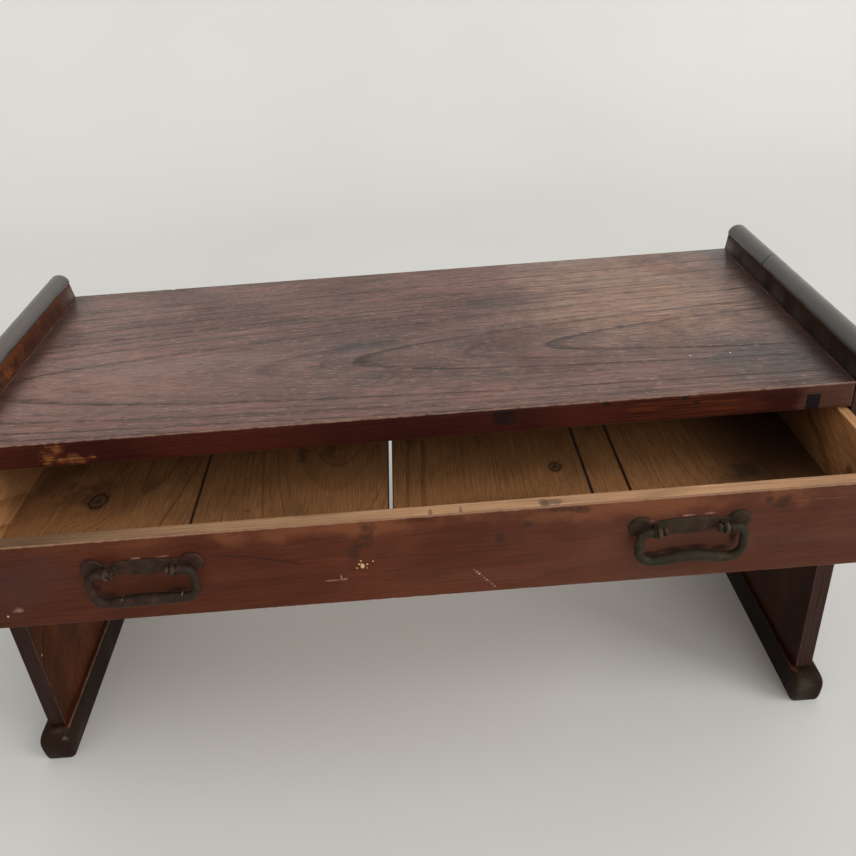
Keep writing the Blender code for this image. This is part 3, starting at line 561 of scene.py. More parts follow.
def lay_top_grain(finish):
    """The darkest years, worn to dashes, and broken grain all over the board."""
    years = 0.0
    for radius, strength in TOP_DARK_YEARS:
        darkening = finish.radius.between(radius - 0.0040, radius)
        ended = finish.radius.between(radius + 0.0008, radius)
        year = darkening * darkening * ended * strength
        years = finish.either(years, year)
    dashed = finish.streaks(0.020, 0.0030, shift=19.0, detail=2.5)
    worn_years = 0.25 + dashed.between(0.36, 0.58) * 0.75
    finish.lay(years * worn_years, (0.022, 0.010, 0.008))
    finish.lines = finish.either(finish.lines, years * 0.9)
    coarse = finish.streaks(0.020, 0.0028, shift=23.0, detail=4.0).between(0.34, 0.66)
    finish.dim(0.88 + coarse * 0.25)
    flecks = finish.streaks(0.008, 0.0018, shift=13.0, detail=1.5).between(0.60, 0.70)
    finish.lay(flecks * 0.50, (0.300, 0.170, 0.120))
    dashes = finish.streaks(0.016, 0.0020, shift=17.0, detail=1.5).between(0.58, 0.68)
    finish.lay(dashes * 0.65, (0.036, 0.018, 0.014))


def lay_top_marks(finish):
    """Painted shade and dirt at both ends, stains, scuffs, two pale specks, and dust along the end boards."""
    # Painted shade and painted reflection of the end boards, with some dirt: a dark band beside each end.
    ends = finish.either(finish.x.between(-0.334, -0.358), finish.x.between(0.328, 0.360))
    finish.lay(ends * (0.62 + finish.mottle * 0.28), (0.034, 0.016, 0.011))
    for centre, radii, strength in (((-0.041, 0.024, TOP_LEVEL), (0.040, 0.016, 0.01), 0.60),
                                    ((0.099, 0.104, TOP_LEVEL), (0.060, 0.024, 0.01), 0.40),
                                    ((-0.190, 0.066, TOP_LEVEL), (0.060, 0.010, 0.01), 0.35)):
        stain = finish.spot(centre, radii, soft=0.8)
        finish.lay(stain * strength, (0.030, 0.024, 0.020))
    for centre, radii in (((0.2715, 0.0317, TOP_LEVEL), (0.011, 0.006, 0.01)),
                          ((0.0865, -0.0433, TOP_LEVEL), (0.008, 0.0035, 0.01)),
                          ((0.029, 0.072, TOP_LEVEL), (0.012, 0.004, 0.01))):
        scuff = finish.spot(centre, radii) * finish.fibre.between(0.40, 0.60)
        finish.lay(scuff * 0.8, (0.250, 0.130, 0.055))
    for place in ((0.248, -0.0433), (0.283, -0.0433)):
        speck = finish.spot((*place, TOP_LEVEL), (0.0014, 0.0011, 0.004), ragged=0.3)
        finish.lay(speck, (0.550, 0.500, 0.440))
    for sign in SIDES.values():
        dust = finish.arris(1, (sign * 0.3624, TOP_LEVEL), 0.0022)
        finish.lay(dust * (0.08 + finish.mottle * 0.46), (0.240, 0.160, 0.115))


def top_edge_colour(finish):
    """The redder front face: lit and rubbed towards the right, with bare streaks at the left, dark spots
    and a dark square that may be a let-in piece."""
    red = finish.tint(finish.cloud.between(0.35, 0.68), (0.030, 0.0050, 0.0030), (0.058, 0.0115, 0.0060))
    lit_place = finish.spot((0.235, CASE_FRONT, 0.343), (0.075, 0.02, 0.022), ragged=0.7, soft=0.7)
    lit = finish.tint(finish.fibre.between(0.40, 0.62), (0.034, 0.0065, 0.0022), (0.085, 0.020, 0.0048))
    red = finish.tint(lit_place * 0.80, red, lit)
    rubbed_end = finish.spot((0.352, CASE_FRONT, 0.343), (0.042, 0.02, 0.03), ragged=0.3, soft=0.4)
    red = finish.tint(rubbed_end * 0.8, red, (0.074, 0.031, 0.019))
    planed = finish.tint(finish.fine.between(0.40, 0.60), (0.110, 0.024, 0.007), (0.290, 0.115, 0.034))
    for centre, radii in (((-0.284, CASE_FRONT, 0.3480), (0.008, 0.02, 0.006)),
                          ((-0.272, CASE_FRONT, 0.3375), (0.020, 0.02, 0.006)),
                          ((-0.292, CASE_FRONT, 0.3400), (0.009, 0.02, 0.008))):
        streaky = 0.50 + finish.fibre.between(0.36, 0.56) * 0.45
        bare = finish.spot(centre, radii, ragged=1.1, soft=0.9) * streaky
        red = finish.tint(bare, red, planed)
    for centre, radii in (((0.0765, CASE_FRONT, 0.347), (0.011, 0.02, 0.010)),
                          ((0.160, CASE_FRONT, 0.352), (0.004, 0.02, 0.003)),
                          ((0.224, CASE_FRONT, 0.352), (0.004, 0.02, 0.003)),
                          ((0.234, CASE_FRONT, 0.347), (0.003, 0.02, 0.002)),
                          ((0.271, CASE_FRONT, 0.351), (0.003, 0.02, 0.002))):
        dark = finish.spot(centre, radii, ragged=0.6, soft=0.5)
        red = finish.tint(dark * 0.85, red, (0.010, 0.006, 0.006))
    red = finish.shade(red, 0.62 + finish.fibre * 0.76)
    inlet_across = abs(finish.x - 0.3295).between(0.0064, 0.0050)
    inlet_up = abs(finish.z - 0.3390).between(0.0084, 0.0068)
    return finish.tint(inlet_across * inlet_up, red, (0.010, 0.006, 0.006))


def top_finish():
    finish = stained_wood("top_wood", (0, 1, 2), (-0.0045, 0.2878), (0.026, 0.083), 0.00745, gloss=0.10,
                          pale=(0.168, 0.064, 0.047), deep=(0.112, 0.045, 0.034), line=(0.026, 0.013, 0.011),
                          wander=0.0022, start=879.15, uneven=0.6, early=0.74, least=0.02)
    x, y, z = finish.xyz
    dull = lay_top_washes(finish)
    lay_top_grain(finish)
    lay_top_marks(finish)
    face = y.between(CASE_FRONT + 0.0014, CASE_FRONT + 0.0004)
    finish.lay(face, top_edge_colour(finish))
    under = z.between(top_low.z + 0.0012, top_low.z + 0.0003)
    raw = finish.tint(finish.late, (0.150, 0.080, 0.042), (0.075, 0.036, 0.020))
    finish.lay(under, finish.shade(raw, 0.6 + finish.fibre * 0.8))
    rubbed = finish.arris(0, (CASE_FRONT, TOP_LEVEL), 0.0015, ragged=0.6)
    finish.lay(rubbed * 0.65, (0.290, 0.185, 0.130))
    lower = finish.arris(0, (CASE_FRONT, top_low.z), 0.0012)
    finish.lay(lower * 0.35, (0.140, 0.055, 0.030))
    rear = finish.arris(0, (CASE_BACK, TOP_LEVEL), 0.0014)
    finish.lay(rear * 0.45, (0.190, 0.120, 0.090))
    bare_places = finish.either(face, under, finish.lines * 0.55)
    polish = (1.0 - bare_places) * finish.cloud.between(0.06, 0.46) * (0.78 + finish.mottle * 0.22)
    dry = y.between(0.000, 0.110) * x.between(0.180, 0.060) * (0.60 + x.between(-0.300, -0.100) * 0.40)
    polish = polish * (1.0 - dry * 0.40) * (1.0 - dull * 0.20)
    finish.shader.inputs["Coat Roughness"].default_value = 0.20
    finish.shader.inputs["Coat IOR"].default_value = 1.56
    return finish.done(0.45 + finish.fine * 0.15, finish.relief, 0.0003, polish)


def model_top():
    low = Vector((-TOP_END, top_low.y, top_low.z))
    high = Vector((TOP_END, top_high.y, top_high.z))
    piece = block("top_board_worn", low, high)
    reach, wide, thick = TOP_TENON
    space = (high.y - low.y - TOP_TENONS * wide) / (TOP_TENONS + 1)
    level = (low.z + high.z) / 2
    for sign in SIDES.values():
        near, far = sorted((sign * (TOP_END - CUT_PAST), sign * (TOP_END + JOINT_PLAY + reach)))
        for i in range(TOP_TENONS):
            y = low.y + space + i * (wide + space)
            tenon = block("tenon", (near, y, level - thick / 2), (far, y + wide, level + thick / 2))
            combine(piece, tenon, "UNION")
    wear(piece, low, high, TOP_ROUND, TOP_STEP, *TOP_WEAR)
    for x, half, deep in TOP_CHIPS:
        bpy.ops.mesh.primitive_cone_add(vertices=7, radius1=0.3 * half, radius2=half, depth=CHIP_LENGTH,
                                        location=(x, high.y + half - deep, high.z - CHIP_DROP))
        combine(piece, named("chip"))
    settle(piece, top_finish(), "carcass", "top_wood", "top_board")


model_top()

# Caps. Half-round rails of near-black wood, grooved underneath for the end boards' tongues. The left
# one is a single length; the right one is pieced, with a slanted joint that has opened to a crack.
CAP_SEAT_GAP = 0.0003
CAP_GROOVE = (0.0056, 0.0046, 0.0117)
CAP_ROUND = 0.0006
CAP_STEP = 0.0045
CAP_WEAR = 0.00022
CAP_EDGE_WEAR = 0.0007
RISE_SETBACK = 0.0025
CAP_JOINT_FROM_BACK = 0.103
CAP_JOINT_SLANT = 0.010
CAP_JOINT_GAP = 0.0003


def cap_finish():
    finish = Finish("cap_wood", axes=(1, 0, 2))
    fibre = finish.streaks(0.090, 0.0011)
    cloud = finish.noise(14.0, (1.0, 0.4, 1.0), detail=4.0)
    finish.colour = finish.ramp(cloud, (0.30, (0.010, 0.007, 0.006)), (0.70, (0.028, 0.020, 0.016)))
    finish.dim(0.5 + fibre * 1.0)
    # Painted reflection: the upper part of each cap is laid pale grey as a sheen of the bright wall, weaker
    # on the right one.
    rubbed = finish.z.between(0.3716, 0.3800)
    right_hand = finish.x.between(-0.1, 0.1)
    grey = finish.tint(right_hand, (0.104, 0.089, 0.076), (0.124, 0.118, 0.106))
    sheen_strength = 0.74 - right_hand * 0.22
    finish.lay(rubbed * sheen_strength, grey)
    off_joint = abs(finish.y + finish.x * slant.x - slant.dot(joint_point))
    crack = off_joint.between(0.0014, 0.0006) * right_hand
    finish.lay(crack * 0.85, (0.006, 0.004, 0.003))
    for x in (-0.3647, 0.3647):
        nibbled = finish.arris(1, (x, 0.3713), 0.0016, ragged=1.2)
        finish.lay(nibbled * 0.25, (0.095, 0.040, 0.025))
    return finish.done(0.20 + fibre * 0.25, fibre + cloud, 0.0002)


def model_cap(node, side, cuts, material):
    """A half-round rail over the whole depth, cut by planes: (point, normal), keeping what lies behind."""
    low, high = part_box(node)
    seat = low.z
    middle = (low.x + high.x) / 2
    bpy.ops.mesh.primitive_cylinder_add(vertices=56, radius=1.0, depth=1.0, rotation=(math.pi / 2, 0.0, 0.0),
                                        location=(middle, (CASE_FRONT + CASE_BACK) / 2, seat))
    bpy.context.object.scale = ((high.x - low.x) / 2, high.z - seat, CASE_BACK - CASE_FRONT)
    piece = named(f"{node}_worn")
    bpy.ops.object.mode_set(mode="EDIT")
    for point, normal in [((0.0, 0.0, seat), (0.0, 0.0, -1.0)), *cuts]:
        bpy.ops.mesh.select_all(action="SELECT")
        bpy.ops.mesh.bisect(plane_co=point, plane_no=normal, clear_outer=True, use_fill=True)
    pick_edges(piece, lambda e: e.calc_face_angle(0.0) > math.radians(55))
    bpy.ops.mesh.bevel(affect="EDGES", offset=CAP_ROUND, segments=2)
    slice_along(1, CASE_FRONT, CASE_BACK, CAP_STEP)
    bpy.ops.object.mode_set(mode="OBJECT")
    for vertex in piece.data.vertices:
        place = vertex.co
        hollow = noise.noise(place * 42.0) + 0.5 * noise.noise(place * 130.0)
        edge = max(0.0, 1.0 - (place.z - seat) / 0.003)
        inward = Vector((middle - place.x, 0.0, seat - place.z)).normalized()
        vertex.co += inward * max(hollow + 0.15, 0.0) * (CAP_WEAR + CAP_EDGE_WEAR * edge)
        vertex.co.z = max(vertex.co.z, seat)
    thick, tall, stop = CAP_GROOVE
    tongue = side * (END_FACE + (RISE_SETBACK + END_THICK) / 2)
    groove = block("groove", (tongue - thick / 2, CASE_FRONT + stop, seat - CUT_PAST),
                   (tongue + thick / 2, CASE_BACK - stop, seat - CAP_SEAT_GAP + tall))
    combine(piece, groove)
    settle(piece, material, "carcass", "cap_wood", node)


cap_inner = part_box("end_cap_right_front")[0].x
cap_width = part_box("end_cap_right_front")[1].x - cap_inner
slant = Vector((-CAP_JOINT_SLANT / cap_width, 1.0, 0.0))
joint_point = Vector((cap_inner, CASE_BACK - CAP_JOINT_FROM_BACK, 0.0))
cap_wood = cap_finish()
model_cap("end_cap_left", -1, [], cap_wood)
model_cap("end_cap_right_front", 1, [(joint_point - Vector((0.0, CAP_JOINT_GAP, 0.0)), slant)], cap_wood)
model_cap("end_cap_right_back", 1, [(joint_point, -slant)], cap_wood)

# Back board, runners and pegs. The board closes the drawer's bay and was stained only outside; the
# runners that carry the drawer are plain strips, pegged to the end boards.
def back_board_finish():
    finish = stained_wood("back_board_wood", (0, 2, 1), (0.22, 0.10), (0.02, 0.05), 0.010, gloss=0.20,
                          pale=(0.085, 0.026, 0.013), deep=(0.045, 0.014, 0.008), line=(0.020, 0.007, 0.005))
    low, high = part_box("back_board")
    inside = finish.y.between(high.y - 0.0020, high.y - 0.0045)
    raw = finish.tint(finish.late, (0.190, 0.105, 0.055), (0.090, 0.045, 0.024))
    finish.lay(inside, finish.shade(raw, 0.6 + finish.fibre * 0.8))
    worn = finish.arris(0, (high.y, low.z), 0.0016)
    finish.lay(worn * 0.5, (0.170, 0.085, 0.050))
    return finish.done(0.42 + finish.cloud * 0.25, finish.relief, 0.0005)


def bare_wood(name, axes, heart, lean, spacing, pale=(0.330, 0.150, 0.056), line=(0.165, 0.064, 0.022),
              knots=(), **ring_settings):
    """Unfinished softwood, darkened by age; the grain bends round each knot. Keeps its layers for the
    marks that follow. A knot is its middle and its size."""
    finish = Finish(name, 0.20, axes)
    bulge = None
    cores = []
    for centre, size in knots:
        scale = [1.0 / size, 1.0 / size, 1.0 / size]
        scale[axes[0]] *= 0.7
        scale[axes[2]] = 0.0
        reach = finish.distance(centre, scale)
        cores.append(reach + (finish.rag - 0.5) * 0.7)
        swell = reach.between(4.0, 0.0) * (2.4 * size)
        bulge = bulge + swell if bulge else swell
    finish.late = finish.rings(heart, lean, spacing, bulge=bulge, **ring_settings)
    finish.fibre = finish.streaks(0.050, 0.0010)
    finish.fine = finish.streaks(0.012, 0.0004, shift=3.0)
    finish.cloud = finish.noise(11.0, detail=4.5, twist=0.8, shift=1.0)
    finish.colour = finish.tint(finish.late * 0.85, pale, line)
    grime = finish.cloud.between(0.42, 0.72)
    finish.lay(grime * 0.45, (0.130, 0.056, 0.022))
    for core in cores:
        finish.lay(core.between(1.5, 0.9) * 0.7, (0.105, 0.050, 0.020))
        heartwood = finish.ramp(core, (0.15, (0.060, 0.028, 0.013)), (0.50, (0.150, 0.072, 0.030)),
                                (0.72, (0.100, 0.046, 0.019)), (0.92, (0.026, 0.012, 0.006)))
        finish.lay(core.between(1.06, 0.90), heartwood)
    grain = finish.fibre * 0.5 + finish.fine * 0.5
    finish.dim(0.66 + grain.between(0.34, 0.66) * 0.68)
    finish.relief = grain * 0.7 + finish.late * 0.3
    return finish


def runner_finish():
    finish = bare_wood("runner_wood", (1, 0, 2), (0.05, 0.18), (0.02, 0.03), 0.004)
    rubbed = finish.z.between(0.2525, 0.2536)
    finish.lay(rubbed * 0.4, (0.120, 0.068, 0.036))
    return finish.done(0.55 + finish.fine * 0.2, finish.relief, 0.0003)


refinish(back_board_finish(), "back_board")
refinish(runner_finish(), "drawer_runner_left", "drawer_runner_right",
         *[f"runner_peg_{side}_{end}" for side in SIDES for end in ("front", "back")])

# Drawer front. A softwood board stained red-brown on its face only, so the top edge shows bare wood
# where hands and the drawer's travel rubbed it. Rebated for the sides and grooved for the floor.
FRONT_LAP = 0.006
FRONT_ROUND = 0.0012
FRONT_STEP = 0.0030
FRONT_WEAR = (0.0014, 0.0003)
DRAWER_SIDE = 0.009
FLOOR_GROOVE = (0.004, 0.0057, 0.0123)
SHANK_HOLE = 0.0050
HANDLE_SPACING = 0.402
EYE_SPACING = 0.049
HANDLE_ABOVE_EDGE = 0.0512
front_low, front_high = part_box("drawer_front")
HANDLE_LEVEL = front_low.z + HANDLE_ABOVE_EDGE
DRAWER_FACE = front_low.y


def face_mark(finish, centre, radii, shade, strength, ragged=0.9, soft=0.9):
    """A mark on the drawer's face, placed by its x and z."""
    patch = finish.spot((centre[0], DRAWER_FACE, centre[1]), (radii[0], 0.004, radii[1]), ragged, soft)
    finish.lay(patch * strength, shade)


def lay_front_stains(finish):
    """Greyer to the right and amber along the top, with sooty drips, and painted shadows round the handles
    and under the bails.
    """
    x = finish.x
    greyer = x.between(-0.10, 0.24) * (0.22 + finish.mottle * 0.26)
    finish.lay(greyer, (0.085, 0.042, 0.028))
    finish.dim(1.0 - x.between(-0.190, -0.300) * 0.34)
    amber = (0.190, 0.066, 0.028)
    soot_and_shade = (0.030, 0.016, 0.011)
    face_mark(finish, (-0.060, 0.325), (0.110, 0.012), amber, 0.60)
    face_mark(finish, (-0.230, 0.326), (0.120, 0.009), amber, 0.15)
    face_mark(finish, (0.170, 0.324), (0.150, 0.014), amber, 0.65)
    face_mark(finish, (0.180, 0.295), (0.120, 0.030), (0.120, 0.042, 0.026), 0.45)
    face_mark(finish, (-0.300, 0.295), (0.060, 0.040), (0.060, 0.025, 0.022), 0.50)
    for place, radii in (((-0.034, 0.3230), (0.0075, 0.0060)), ((-0.036, 0.3150), (0.0080, 0.0060)),
                         ((-0.041, 0.3070), (0.0100, 0.0060)), ((-0.0465, 0.2990), (0.0080, 0.0080)),
                         ((0.108, 0.3268), (0.0170, 0.0040)), ((0.121, 0.3245), (0.0110, 0.0045)),
                         ((0.0836, 0.3153), (0.0065, 0.0050)), ((0.0615, 0.3036), (0.0050, 0.0110)),
                         ((0.269, 0.3176), (0.0090, 0.0075)), ((0.258, 0.3210), (0.0050, 0.0050))):
        face_mark(finish, place, radii, soot_and_shade, 0.62, soft=0.8)
    face_mark(finish, (0.010, 0.275), (0.030, 0.008), soot_and_shade, 0.25)
    # Painted shadow round each plate's lobes and below its middle, and behind the bail, in the drips' dark
    # colour.
    for side in SIDES.values():
        x_middle = side * HANDLE_SPACING / 2
        face_mark(finish, (x_middle, HANDLE_LEVEL - 0.013), (0.050, 0.024), soot_and_shade, 0.30, ragged=0.5)
        for lobe in (-0.0365, 0.0365):
            face_mark(finish, (x_middle + lobe, HANDLE_LEVEL), (0.0110, 0.0110), soot_and_shade, 0.75,
                      ragged=0.25, soft=0.4)
        face_mark(finish, (x_middle, HANDLE_LEVEL - 0.002), (0.036, 0.0085), soot_and_shade, 0.65,
                  ragged=0.25, soft=0.5)
    # Painted shadow along the top of each bail's grip.
    for place, radii in (((-0.231, 0.2790), (0.010, 0.0042)), ((-0.180, 0.2795), (0.012, 0.0036)),
                         ((-0.238, 0.2860), (0.004, 0.0060)), ((0.174, 0.2790), (0.010, 0.0036)),
                         ((0.190, 0.2815), (0.012, 0.0034)), ((0.209, 0.2825), (0.012, 0.0034)),
                         ((0.227, 0.2800), (0.010, 0.0040)), ((0.2345, 0.2890), (0.0040, 0.0090))):
        face_mark(finish, place, radii, (0.012, 0.005, 0.003), 0.70, ragged=0.4, soft=0.8)


def lay_front_scratches(finish):
    """Scuffs over the handles, chips down to bare wood, and one long curved scratch."""
    for x, above in ((-0.205, 0.0062), (-0.185, 0.0062), (0.200, 0.0070), (0.215, 0.0075), (0.172, 0.0040)):
        place = (x, HANDLE_LEVEL + above)
        face_mark(finish, place, (0.0055, 0.0012), (0.270, 0.130, 0.100), 0.75, ragged=1.0, soft=0.7)
    for place, radii in (((-0.0410, 0.2880), (0.0020, 0.0030)), ((-0.0435, 0.2900), (0.0010, 0.0009)),
                         ((-0.0375, 0.2895), (0.0009, 0.0012)), ((-0.0380, 0.2860), (0.0010, 0.0008)),
                         ((-0.0330, 0.2920), (0.0008, 0.0008)), ((-0.0455, 0.2865), (0.0008, 0.0010)),
                         ((-0.0420, 0.2930), (0.0009, 0.0009)), ((-0.3110, 0.2655), (0.0011, 0.0013))):
        face_mark(finish, place, radii, (0.620, 0.420, 0.220), 0.85, ragged=0.8, soft=0.6)
    for place, radii in (((-0.0640, 0.2765), (0.0085, 0.0010)), ((-0.0580, 0.2795), (0.0011, 0.0034)),
                         ((-0.0550, 0.2770), (0.0022, 0.0012)), ((-0.3020, 0.2705), (0.0050, 0.0030))):
        face_mark(finish, place, radii, (0.270, 0.140, 0.115), 0.70, ragged=0.9, soft=0.7)
    for i in range(9):
        share = i / 8
        place = (0.0415 + 0.0150 * share, 0.2765 - 0.0175 * share)
        size = 0.0006 + 0.0003 * (i % 3)
        face_mark(finish, place, (size, size), (0.450, 0.290, 0.210), 0.70, ragged=0.6, soft=0.6)
    for i in range(3):
        place = (0.2830 + 0.0130 * i, 0.3178 + 0.0004 * (i % 2))
        face_mark(finish, place, (0.0110, 0.0007), (0.200, 0.105, 0.066), 0.42, ragged=0.5)
    x = finish.x
    slope = finish.z + (x + 0.118) * (0.46 + x * 2.0)
    scratch = abs(slope - 0.3035).between(0.0011, 0.0003)
    length = x.between(-0.154, -0.146) * x.between(-0.083, -0.090)
    finish.lay(scratch * length * 0.65, (0.020, 0.010, 0.008))


def bare_edge_colour(finish):
    """The unstained top edge, paler towards the right, with a few stains."""
    bare = finish.tint(finish.mottle, (0.300, 0.170, 0.090), (0.200, 0.110, 0.060))
    bare = finish.shade(bare, 0.50 + finish.fibre * 1.0)
    bare = finish.shade(bare, 0.55 + finish.x.between(-0.30, 0.04))
    for place, half in ((0.100, 0.012), (0.094, 0.005), (0.012, 0.0018), (0.034, 0.0012)):
        stain = finish.spot((place, DRAWER_FACE + 0.005, front_high.z), (half, 0.005, 0.01))
        bare = finish.tint(stain * 0.65, bare, (0.090, 0.060, 0.045))
    return bare


def drawer_front_finish():
    finish = stained_wood("drawer_front_wood", (0, 2, 1), (0.205, 0.02), (0.012, -0.06), 0.0085, gloss=0.07,
                          pale=(0.096, 0.026, 0.012), deep=(0.070, 0.018, 0.008),
                          line=(0.034, 0.009, 0.005), figure=0.55)
    lay_front_stains(finish)
    lay_front_scratches(finish)
    outside = finish.y.between(DRAWER_FACE + 0.0016, DRAWER_FACE + 0.0006)
    finish.colour = finish.tint(outside, bare_edge_colour(finish), finish.colour)
    rubbed = finish.arris(0, (DRAWER_FACE, front_high.z), 0.0014, ragged=0.7)
    finish.lay(rubbed * 0.65, (0.330, 0.190, 0.115))
    lower = finish.arris(0, (DRAWER_FACE, front_low.z), 0.0012, ragged=0.8)
    finish.lay(lower * 0.30, (0.200, 0.085, 0.055))
    roughness = 0.36 + finish.cloud * 0.20
    return finish.done(roughness + (1.0 - outside) * 0.20, finish.relief, 0.0001)


def shank_holes(piece, middle, low, high):
    """Square holes for the shanks of one handle's two eyes, right through a piece."""
    half = SHANK_HOLE / 2
    for eye in (-1, 1):
        x = middle + eye * EYE_SPACING / 2
        combine(piece, block("hole", (x - half, low.y - CUT_PAST, HANDLE_LEVEL - half),
                             (x + half, high.y + CUT_PAST, HANDLE_LEVEL + half)))


def model_drawer_front(low, high):
    piece = block("drawer_front_worn", low, high)
    deep, groove_low, groove_high = FLOOR_GROOVE
    inside = high.x - DRAWER_SIDE
    past = high.y + CUT_PAST
    for sign in SIDES.values():
        near, far = sorted((sign * (inside - JOINT_PLAY), sign * (high.x + CUT_PAST)))
        rebate = block("rebate", (near, low.y + FRONT_LAP, low.z - CUT_PAST), (far, past, high.z + CUT_PAST))
        combine(piece, rebate)
    combine(piece, block("groove", (-inside, high.y - deep, low.z + groove_low),
                         (inside, past, low.z + groove_high)))
    for sign in SIDES.values():
        shank_holes(piece, sign * HANDLE_SPACING / 2, low, high)
    wear(piece, low, high, FRONT_ROUND, FRONT_STEP, *FRONT_WEAR)
    settle(piece, drawer_front_finish(), "drawer", "drawer_front_wood", "drawer_front")


model_drawer_front(front_low, front_high)

# Drawer sides and back. Bare softwood boards, grooved for the floor, the sides lapped into the front's
# rebates. The inner faces have painted light at the front and painted shade at the back, most on the right.
def drawer_wall_finish():
    finish = bare_wood("drawer_wall_wood", (1, 2, 0), (0.20, 0.0), (0.02, 0.15), 0.0045,
                       pale=(0.390, 0.185, 0.072), line=(0.200, 0.080, 0.028))
    upper_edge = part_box("drawer_side_right")[1].z
    # Painted light at the front and painted shade towards the back of the inner faces, strongest on the right
    # side.
    right_hand = finish.x.between(-0.1, 0.1)
    painted_shade_towards_back = finish.y.between(-0.130, -0.045)
    painted_front_light = 1.18 + right_hand * 0.20
    painted_back_shade = painted_shade_towards_back * (0.08 + right_hand * 0.74)
    finish.dim(painted_front_light - painted_back_shade)
    stain = finish.spot((0.3525, -0.1443, 0.2911), (0.004, 0.006, 0.008))
    finish.lay(stain * 0.75, (0.060, 0.030, 0.018))
    edge = finish.z.between(upper_edge - 0.0012, upper_edge - 0.0003)
    finish.lay(edge * 0.45, (0.400, 0.250, 0.125))
    return finish.done(0.52 + finish.fine * 0.25, finish.relief, 0.0003)


def drawer_back_finish():
    finish = bare_wood("drawer_back_wood", (0, 2, 1), (0.22, 0.0), (0.02, 0.05), 0.005)
    return finish.done(0.55 + finish.fine * 0.25, finish.relief, 0.0003)


refinish(drawer_wall_finish(), "drawer_side_left", "drawer_side_right")
refinish(drawer_back_finish(), "drawer_back")

# Drawer floor. Five thin softwood boards laid front to back, planed by hand and left bare, with two
# knots; one joint has shrunk open. A nail through each board holds it up to the drawer's back.
FLOOR_LEVEL = 0.266
FLOOR_BOARDS = {
    1: {"heart": (-0.235, 0.20), "lean": (0.16, 0.02), "spacing": 0.0052,
        "knots": [((-0.2835, -0.0675, FLOOR_LEVEL), 0.0086)]},
    2: {"heart": (-0.070, 0.215), "lean": (0.05, 0.16), "spacing": 0.0060},
    3: {"heart": (0.200, 0.18), "lean": (0.03, 0.03), "spacing": 0.0036,
        "knots": [((0.1265, -0.0675, FLOOR_LEVEL), 0.0055)]},
    4: {"heart": (0.060, 0.20), "lean": (-0.05, 0.02), "spacing": 0.0040},
    5: {"heart": (0.330, 0.17), "lean": (-0.06, 0.04), "spacing": 0.0055},
}
# Dark marks on each board as centre, radii and strength. Board 1's first, broad one, at the back of the left
# side, is painted shade; the rest are stains.
FLOOR_STAINS_AND_SHADE = {
    1: (((-0.330, -0.025), (0.030, 0.045), 0.55), ((-0.305, -0.060), (0.020, 0.022), 0.50),
        ((-0.286, -0.045), (0.018, 0.014), 0.45)),
    2: (((-0.1035, -0.0175), (0.006, 0.020), 0.70), ((-0.0785, -0.012), (0.010, 0.022), 0.50),
        ((-0.145, -0.100), (0.004, 0.003), 0.60)),
    3: (((0.000, -0.005), (0.010, 0.016), 0.40), ((0.062, -0.015), (0.006, 0.014), 0.35)),
    4: (((0.170, -0.010), (0.010, 0.020), 0.30),),
    5: (((0.290, -0.0900), (0.016, 0.026), 0.75), ((0.274, -0.104), (0.014, 0.012), 0.50)),
}


def floor_board_finish(number):
    finish = bare_wood(f"floor_board_wood_{number}", (1, 0, 2), wander=0.003, **FLOOR_BOARDS[number])
    for centre, radii, strength in FLOOR_STAINS_AND_SHADE[number]:
        stain = finish.spot((*centre, FLOOR_LEVEL), (*radii, 0.01), soft=0.8)
        finish.lay(stain * strength, (0.070, 0.036, 0.018))
    low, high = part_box(f"drawer_floor_board_{number}")
    x = finish.x
    joint = finish.either(x.between(low.x + 0.0013, low.x + 0.0006),
                          x.between(high.x - 0.0013, high.x - 0.0006))
    finish.lay(joint * 0.85, (0.030, 0.011, 0.006))
    finish.dim(0.84 + finish.cloud * 0.12)
    dirt = finish.y.between(-0.02, 0.18)
    finish.lay(dirt * 0.45, (0.130, 0.072, 0.036))
    # Painted shadow over the floor's right end, deepening towards the back.
    painted_shadow_right = x.between(0.225, 0.315) * finish.y.between(-0.170, -0.080)
    finish.lay(painted_shadow_right * 0.84, (0.042, 0.020, 0.010))
    return finish.done(0.55 + finish.fine * 0.25, finish.relief, 0.0003)


def nail_finish():
    finish = Finish("nail_iron")
    rust = finish.rag.between(0.42, 0.62)
    finish.colour = finish.tint(rust, (0.045, 0.040, 0.036), (0.110, 0.045, 0.020))
    return finish.done(0.50 + rust * 0.30, finish.rag, 0.0002)


for board_number in FLOOR_BOARDS:
    refinish(floor_board_finish(board_number), f"drawer_floor_board_{board_number}")
refinish(nail_finish(), *[f"floor_nail_{number}" for number in FLOOR_BOARDS])

# Handle plates. Thin beaten iron with a round lobe at each end and a broad middle, its rim filed
# thin, held to the drawer front by the two eyes that pass through it.
PLATE_LOBE_SPACING = 0.0730
PLATE_LOBE_RADIUS = 0.0083
PLATE_NECK_SPACING = 0.0490
PLATE_NECK_HALF = 0.0037
PLATE_MIDDLE_HALF = 0.0071
PLATE_MIDDLE_DROP = 0.0015
PLATE_RIM = 0.0008
PLATE_EDGE_SHARE = 0.45
PLATE_STEPS = 144
EYE_REACH = 0.0085


